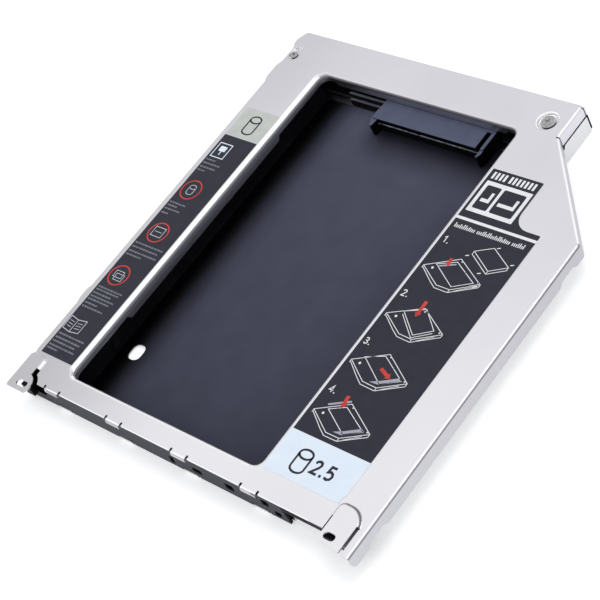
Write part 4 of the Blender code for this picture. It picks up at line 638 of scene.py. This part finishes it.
def tray_sign(ink, left, top, right, bottom, cut, weight):
    """Line drawing of the tray lying at a slant, with a second line below its near edges."""
    drop, clear = 0.95, 0.05
    notch = ((left[0] * 0.28 + cut[0] * 0.72), (left[1] * 0.28 + cut[1] * 0.72))
    step = (cut[0] - 0.2, cut[1] + 0.15)
    ink.line([left, top, right, bottom, cut, step, notch], weight, closed=True)
    lower_start = (left[0] + 0.15, left[1] + 0.35)
    ink.line([(x, y - drop) for x, y in (lower_start, notch, step, cut, bottom, right)], weight)
    for x, y in (left, bottom, right):
        ink.line([(x, y - clear), (x, y - drop + clear)], weight)
    ink.line([(bottom[0] + 1.1, bottom[1] - 0.15), (right[0] - 1.6, right[1] - 1.35)], weight * 0.8)


def window_sign(ink, corners, weight):
    """Outline of the tray's window, with a dot on the middle of three sides."""
    ink.line(corners, weight, closed=True)
    for (ax, ay), (bx, by) in zip(corners, corners[1:]):
        ink.plate(circle((ax + bx) / 2, (ay + by) / 2, 0.16, 8))


def right_label_grounds():
    """White stock with a tab at its rear, two dark grounds and a pale blue foot."""
    left, right, front, rear = 90.52, 116.8, 7.0, 93.8
    tab_right, tab_rear, tab_fillet = 107.5, 109.1, 4.8
    step_x, step_front, step_rear = 116.2, 8.6, 9.6
    stock = Print(STOCK)
    outline = [(left, front), (step_x, front), (step_x, step_front), (right, step_rear), (right, rear),
               (tab_right, rear), (tab_right, tab_rear), (left, tab_rear)]
    stock.plate(rounded(outline, [0.5, 0.2, 0.3, 0.3, 0.5, tab_fillet, 0.5, 0.5], 5))
    stock.finish("right_label_stock", INK_WHITE, "right_label")

    dark_left, dark_right = 90.9, right - INSET
    steps_front, steps_rear, head_front = 19.6, 91.3, 92.2
    ground = Print(GROUND)
    ground.plate(rounded([(dark_left, steps_front), (dark_right, steps_front), (dark_right, steps_rear),
                          (dark_left, steps_rear)], 0.05, 1))
    ground.plate(rounded([(dark_left, head_front), (dark_right, head_front), (dark_right, rear - INSET),
                          (tab_right - INSET, rear - INSET), (tab_right - INSET, tab_rear - INSET),
                          (dark_left, tab_rear - INSET)], [0.05, 0.05, 0.4, tab_fillet, 0.4, 0.3], 6))
    ground.finish("right_label_ground", INK_DARK)

    foot_left, foot_front, foot_rear, margin = dark_left - 0.3, front + 0.05, 19.5, 0.05
    foot = Print(GROUND)
    foot.plate(rounded([(foot_left, foot_front), (step_x - margin, foot_front), (step_x - margin, step_front + margin),
                        (dark_right, step_rear + margin), (dark_right, foot_rear), (foot_left, foot_rear)], 0.05, 1))
    foot.finish("right_label_foot", INK_BLUE)


# Drawings of the four steps. Heads: number, place, height. Trays: left, top, right, bottom and cut corner
HEADS = ((1, 91.9, 83.1, 2.0), (2, 92.1, 64.5, 1.9), (3, 91.9, 48.1, 1.9), (4, 92.5, 32.3, 2.0))
TRAYS = (((92.1, 74.9), (100.9, 80.1), (110.7, 74.9), (103.8, 70.65), (99.4, 70.65)),
         ((92.1, 58.3), (101.3, 63.3), (110.7, 58.2), (103.8, 53.9), (99.4, 54.1)),
         ((92.3, 42.7), (101.3, 47.9), (111.1, 42.3), (104.2, 38.1), (99.4, 38.3)),
         ((92.5, 26.4), (101.3, 31.6), (111.3, 26.2), (104.4, 22.0), (100.0, 22.0)))
WINDOWS = (((95.3, 76.4), (100.5, 78.9), (108.6, 74.7), (103.6, 71.6)),
           ((95.3, 44.7), (100.5, 47.0), (109.2, 42.3), (104.2, 39.3)),
           ((96.2, 27.9), (100.6, 30.3), (109.2, 26.0), (104.6, 23.3)))
DRIVE = ((102.65, 83.5), (107.3, 86.2), (114.6, 82.2), (110.0, 79.3))
DRIVE_SCREWS = ((108.9, 86.8), (115.5, 83.4), (102.1, 81.9), (108.6, 78.1))
TILTED_DRIVE = ((96.3, 60.5), (101.9, 63.2), (107.8, 58.3), (103.2, 55.1))
TILTED_DRIVE_EDGE = ((96.5, 59.6), (103.2, 54.2), (107.9, 57.5))
SOCKET_WEDGE = ((108.0, 73.6), (110.1, 74.9), (110.3, 74.0), (108.5, 72.9))
FRONT_HOLES = ((95.0, 75.0), (95.2, 58.4), (95.2, 42.6), (95.6, 26.4))
REAR_HOLES = ((101.7, 79.4), (109.8, 75.3), (101.9, 62.4), (109.6, 58.3), (102.1, 47.2), (110.1, 42.5),
              (102.3, 30.8), (110.3, 26.4))
SHADES = (((101.2, 38.9), (104.1, 39.1), (109.3, 42.4), (108.2, 42.9), (104.0, 40.3)),
          ((101.6, 22.9), (104.4, 23.0), (109.4, 26.1), (108.4, 26.7), (104.3, 24.2)),
          ((95.0, 29.2), (99.6, 31.9), (100.6, 32.4), (100.9, 31.9), (95.4, 28.8)),
          ((95.8, 76.1), (100.5, 78.3), (100.9, 78.0), (96.3, 75.8)))
# Arrows: tail, tip, width
ARROWS = (((98.2, 79.4), (98.6, 76.6), 0.95), ((100.3, 65.3), (100.3, 60.1), 1.05),
          ((101.7, 43.4), (105.9, 41.7), 1.0), ((98.9, 33.2), (99.3, 29.4), 1.05))
# Heights of the heading's letter-like strokes; 0 is the space between two words
STROKES = (1.5, 0.95, 0.95, 1.35, 0.95, 1.5, 1.5, 0.95, 1.35, 1.1, 0.95, 0.95, 0, 0.95, 0.95, 0.95, 1.35, 1.5,
           0.95, 1.5)


def step_drawings(ink):
    """The steps' numbers and line drawings."""
    weight, head_weight, thickness = 0.2, 0.3, 1.0
    for number, x, y, height in HEADS:
        digit(ink, number, x, y, height, head_weight)
        point_x = x + height * 0.85
        ink.bar(point_x, y - 0.1, point_x + 0.35, y + 0.25)
    for tray in TRAYS:
        tray_sign(ink, *tray, weight)
    for corners in WINDOWS:
        window_sign(ink, corners, weight)
    ink.line(DRIVE, weight, closed=True)
    near_corners = (DRIVE[0], DRIVE[3], DRIVE[2])
    ink.line([(x, y - thickness) for x, y in near_corners], weight)
    for x, y in near_corners:
        ink.line([(x, y), (x, y - thickness)], weight)
    for x, y in DRIVE_SCREWS:
        ink.line([(x, y), (x - 0.9, y - 0.45)], head_weight)
    ink.plate(SOCKET_WEDGE)
    ink.line(TILTED_DRIVE, weight, closed=True)
    ink.line(TILTED_DRIVE_EDGE, weight)
    for x, y in FRONT_HOLES:
        ink.plate(circle(x, y, 0.38, 12))
    for x, y in REAR_HOLES:
        ink.plate(circle(x, y, 0.24, 8))


def right_label():
    """Label right of the window: a tab with a plug's face, four steps as line drawings, a pale foot."""
    right_label_grounds()

    white = Print(MARK)
    # Face of a plug: its contacts in a row above a pale field, which gets two keyed mouths below
    contact_pitch, contact_width, key_gap = 1.27, 0.72, 0.6
    for i in range(11):
        x = 92.1 + i * contact_pitch + (key_gap if i > 3 else 0.0)
        white.bar(x, 105.9, x + contact_width, 108.2)
    white.bar(91.8, 94.4, 106.8, 105.0, 0.25)
    step_drawings(white)
    heading_x, heading_y, stroke_pitch, stroke_width = 92.2, 88.5, 0.57, 0.3
    for height in STROKES * 2:
        if height:
            white.bar(heading_x, heading_y, heading_x + stroke_width, heading_y + height)
        heading_x += stroke_pitch
    white.finish("right_label_marks", INK_WHITE)

    grey = Print(MARK)
    for shade in SHADES:
        grey.plate(shade)
    grey.finish("right_label_shades", INK_SHADE)

    dark, tongue = Print(ACCENT), Print(TOP_MARK)
    for left, right in ((92.9, 97.6), (98.5, 105.7)):
        dark.bar(left, 95.7, right, 103.7, 0.5)
        # L-shaped tongue inside the mouth
        outer_left, outer_right, inner_right = left + 0.9, right - 0.9, right - 1.8
        low, bend, high = 98.2, 99.3, 101.6
        tongue.plate([(outer_left, low), (outer_right, low), (outer_right, high), (inner_right, high),
                      (inner_right, bend), (outer_left, bend)])
    tongue.finish("right_label_tongues", INK_WHITE)
    # Foot: a disk's sign and the plain number 2.5
    drum(dark, 97.4, 101.7, 9.2, 16.0, 0.6)
    number_y, number_height, number_weight = 11.0, 3.6, 0.72
    digit(dark, 2, 103.4, number_y, number_height, number_weight)
    dark.bar(106.35, 10.7, 107.1, 11.45)
    digit(dark, 5, 107.9, number_y, number_height, number_weight)
    dark.finish("right_label_dark_marks", INK_DARK)

    red = Print(ACCENT)
    for tail, tip, width in ARROWS:
        red.plate(arrow(tail, tip, width))
    red.finish("right_label_arrows", INK_RED)


# Rows of the left label's text: middle, right end
ROWS = ((83.6, 6.9), (82.2, 9.7), (80.7, 8.9), (79.4, 6.2), (66.5, 9.6), (65.3, 7.2), (64.0, 9.2), (62.4, 5.8),
        (50.6, 14.2), (49.1, 13.4), (47.5, 14.4), (46.2, 9.1), (33.7, 12.8), (32.7, 12.2), (31.4, 10.4), (30.2, 12.6),
        (29.1, 12.0), (27.7, 8.2), (26.4, 11.5), (16.2, 13.8), (14.8, 13.0), (13.5, 12.2), (12.1, 13.4), (11.0, 7.6))
WORD_LENGTHS = (0.5, 0.3, 0.7, 0.35, 0.55, 0.25)


def left_label():
    """Label left of the window: a pale field with a disk's sign and a dark column of signs and rows."""
    left, right, front, rear, dark_rear = 2.35, 15.45, 9.05, 104.5, 93.4
    stock = Print(STOCK)
    stock.bar(left, front, right, rear, 0.3)
    stock.finish("left_label_stock", INK_PALE, "left_label")
    ground = Print(GROUND)
    ground.bar(left + INSET, front + INSET, right - INSET, dark_rear, 0.2)
    ground.finish("left_label_ground", INK_DARK)

    dark = Print(MARK)
    drum(dark, 6.8, 10.8, 95.3, 102.2, 0.5)
    dark.finish("left_label_dark_marks", INK_DARK)

    text = Print(MARK)
    row_left, row_height, row_drop = 3.0, 0.5, 0.2
    for i, (y, end) in enumerate(ROWS):
        shift = i % len(WORD_LENGTHS)
        text.words(row_left, end, y - row_drop, row_height, WORD_LENGTHS[shift:] + WORD_LENGTHS[:shift])
    text.finish("left_label_rows", INK_GREY)

    # Signs for the rings, a disk, a tray and two sheets, and an open leaflet below them
    pale = Print(MARK)
    drum(pale, 5.5, 7.9, 70.5, 74.0, 0.22)
    pale.line([(5.6, 57.6), (9.6, 57.6), (9.6, 54.4), (5.6, 54.4)], 0.22, closed=True)
    pale.line([(6.3, 56.0), (8.9, 56.0)], 0.2)
    pale.line([(4.8, 40.4), (8.0, 40.4), (8.0, 38.2), (4.8, 38.2)], 0.2, closed=True)
    pale.line([(5.6, 39.5), (8.7, 39.5), (8.7, 37.3), (5.6, 37.3)], 0.2, closed=True)
    pale.line([(2.7, 22.4), (5.9, 21.9), (9.2, 22.4), (9.2, 18.1), (5.9, 17.6), (2.7, 18.1)], 0.24, closed=True)
    pale.line([(5.9, 21.8), (5.9, 17.7)], 0.22)
    for y in (21.0, 20.1, 19.2):
        pale.line([(3.4, y + 0.1), (5.2, y - 0.15)], 0.18)
        pale.line([(6.6, y - 0.15), (8.5, y + 0.1)], 0.18)
    pale.finish("left_label_marks", INK_SIGN)

    # Plug with its cable, in a frame
    blue = Print(MARK)
    blue.line([(3.4, 85.0), (8.3, 85.0), (8.3, 90.3), (3.4, 90.3)], 0.3, closed=True)
    blue.bar(4.6, 87.4, 7.1, 89.3, 0.2)
    blue.line([(5.85, 87.4), (5.85, 86.0)], 0.35)
    blue.finish("left_label_plug_sign", INK_BLUE)

    red = Print(ACCENT)
    ring_radius, ring_weight = 3.4, 0.42
    for x, y in ((6.7, 72.2), (7.7, 55.8), (6.7, 39.0)):
        red.line(circle(x, y, ring_radius), ring_weight, closed=True)
    red.finish("left_label_rings", INK_RED)


right_label()
left_label()


# Light, floor and camera: lengths in metres, apart from the camera's place on the grid, and power in watts

FLOOR_HALF, FLOOR_CLEARANCE, FLOOR_GLOW = 1.6, 0.00005, 0.4
WORLD_COLOUR, WORLD_STRENGTH = (0.97, 0.98, 1.0, 1.0), 0.75


def floor_material():
    """Pale floor that also shows white to the camera and to glossy rays, and keeps the shadow."""
    n = Finish("floor_pale")
    n.set("Base Color", (0.86, 0.86, 0.87, 1.0))
    n.set("Roughness", 0.8)
    n.set("Specular IOR Level", 0.1)
    emit = n.add("ShaderNodeEmission")
    emit.inputs["Color"].default_value = WHITE
    n.feed(emit.inputs["Strength"], n.combine("MULTIPLY", n.seen_directly(), FLOOR_GLOW))
    both = n.add("ShaderNodeAddShader")
    n.feed(both.inputs[0], n.shader.outputs[0])
    n.feed(both.inputs[1], emit.outputs[0])
    n.show(both.outputs[0], "OUTPUT_MATERIAL")
    return n.material


def make_floor():
    mesh = bpy.data.meshes.new("floor")
    corners = [(x * FLOOR_HALF, y * FLOOR_HALF, 0) for x, y in ((-1, -1), (1, -1), (1, 1), (-1, 1))]
    mesh.from_pydata(corners, [], [(0, 1, 2, 3)])
    mesh.materials.append(floor_material())
    floor = bpy.data.objects.new("floor", mesh)
    floor.location.z = CAD_BOX[0][2] - FLOOR_CLEARANCE
    bpy.context.scene.collection.objects.link(floor)


def make_world():
    """Even studio light, shown as white to the camera and to glossy rays."""
    world = bpy.data.worlds.new("studio")
    bpy.context.scene.world = world
    world.use_nodes = True
    n = Tree(world.node_tree)
    light = n.tree.nodes["Background"]
    light.inputs["Color"].default_value = WORLD_COLOUR
    light.inputs["Strength"].default_value = WORLD_STRENGTH
    white = n.add("ShaderNodeBackground")
    white.inputs["Color"].default_value = WHITE
    white.inputs["Strength"].default_value = 1.0
    mix = n.add("ShaderNodeMixShader")
    n.feed(mix.inputs["Fac"], n.seen_directly())
    n.feed(mix.inputs[1], light.outputs[0])
    n.feed(mix.inputs[2], white.outputs[0])
    n.show(mix.outputs[0], "OUTPUT_WORLD")


def make_lamp(name, location, size, power):
    """Soft round lamp that points at the caddy."""
    light = bpy.data.lights.new(name, "AREA")
    light.shape = "DISK"
    light.size = size
    light.energy = power
    lamp = bpy.data.objects.new(name, light)
    lamp.location = location
    lamp.rotation_euler = (-Vector(location)).to_track_quat("-Z", "Y").to_euler()
    bpy.context.scene.collection.objects.link(lamp)


def make_camera():
    """Camera at the photograph's angle, as solved from the corners of the cover."""
    right = Vector((0.71631249, 0.58767446, -0.37621156))
    up = Vector((-0.28510367, 0.73859102, 0.61090032))
    back = Vector((0.636877, -0.33033623, 0.69661012))
    eye = place(371.6, -105.8, 334.2 + TOP)
    data = bpy.data.cameras.new("camera")
    data.sensor_fit = "HORIZONTAL"
    data.sensor_width, data.lens = 36.0, 110.17
    data.clip_start = 0.01
    camera = bpy.data.objects.new("camera", data)
    turn = Matrix((right, up, back)).transposed().to_4x4()
    camera.matrix_world = Matrix.Translation(eye) @ turn
    bpy.context.scene.collection.objects.link(camera)
    bpy.context.scene.camera = camera


make_world()
make_floor()
make_lamp("key_lamp", (0.19, 0.52, 1.31), 0.9, 4.5)
make_lamp("fill_lamp", (-0.90, -0.46, 1.0), 0.9, 1.5)
make_camera()
bpy.context.scene.view_settings.view_transform = "Standard"
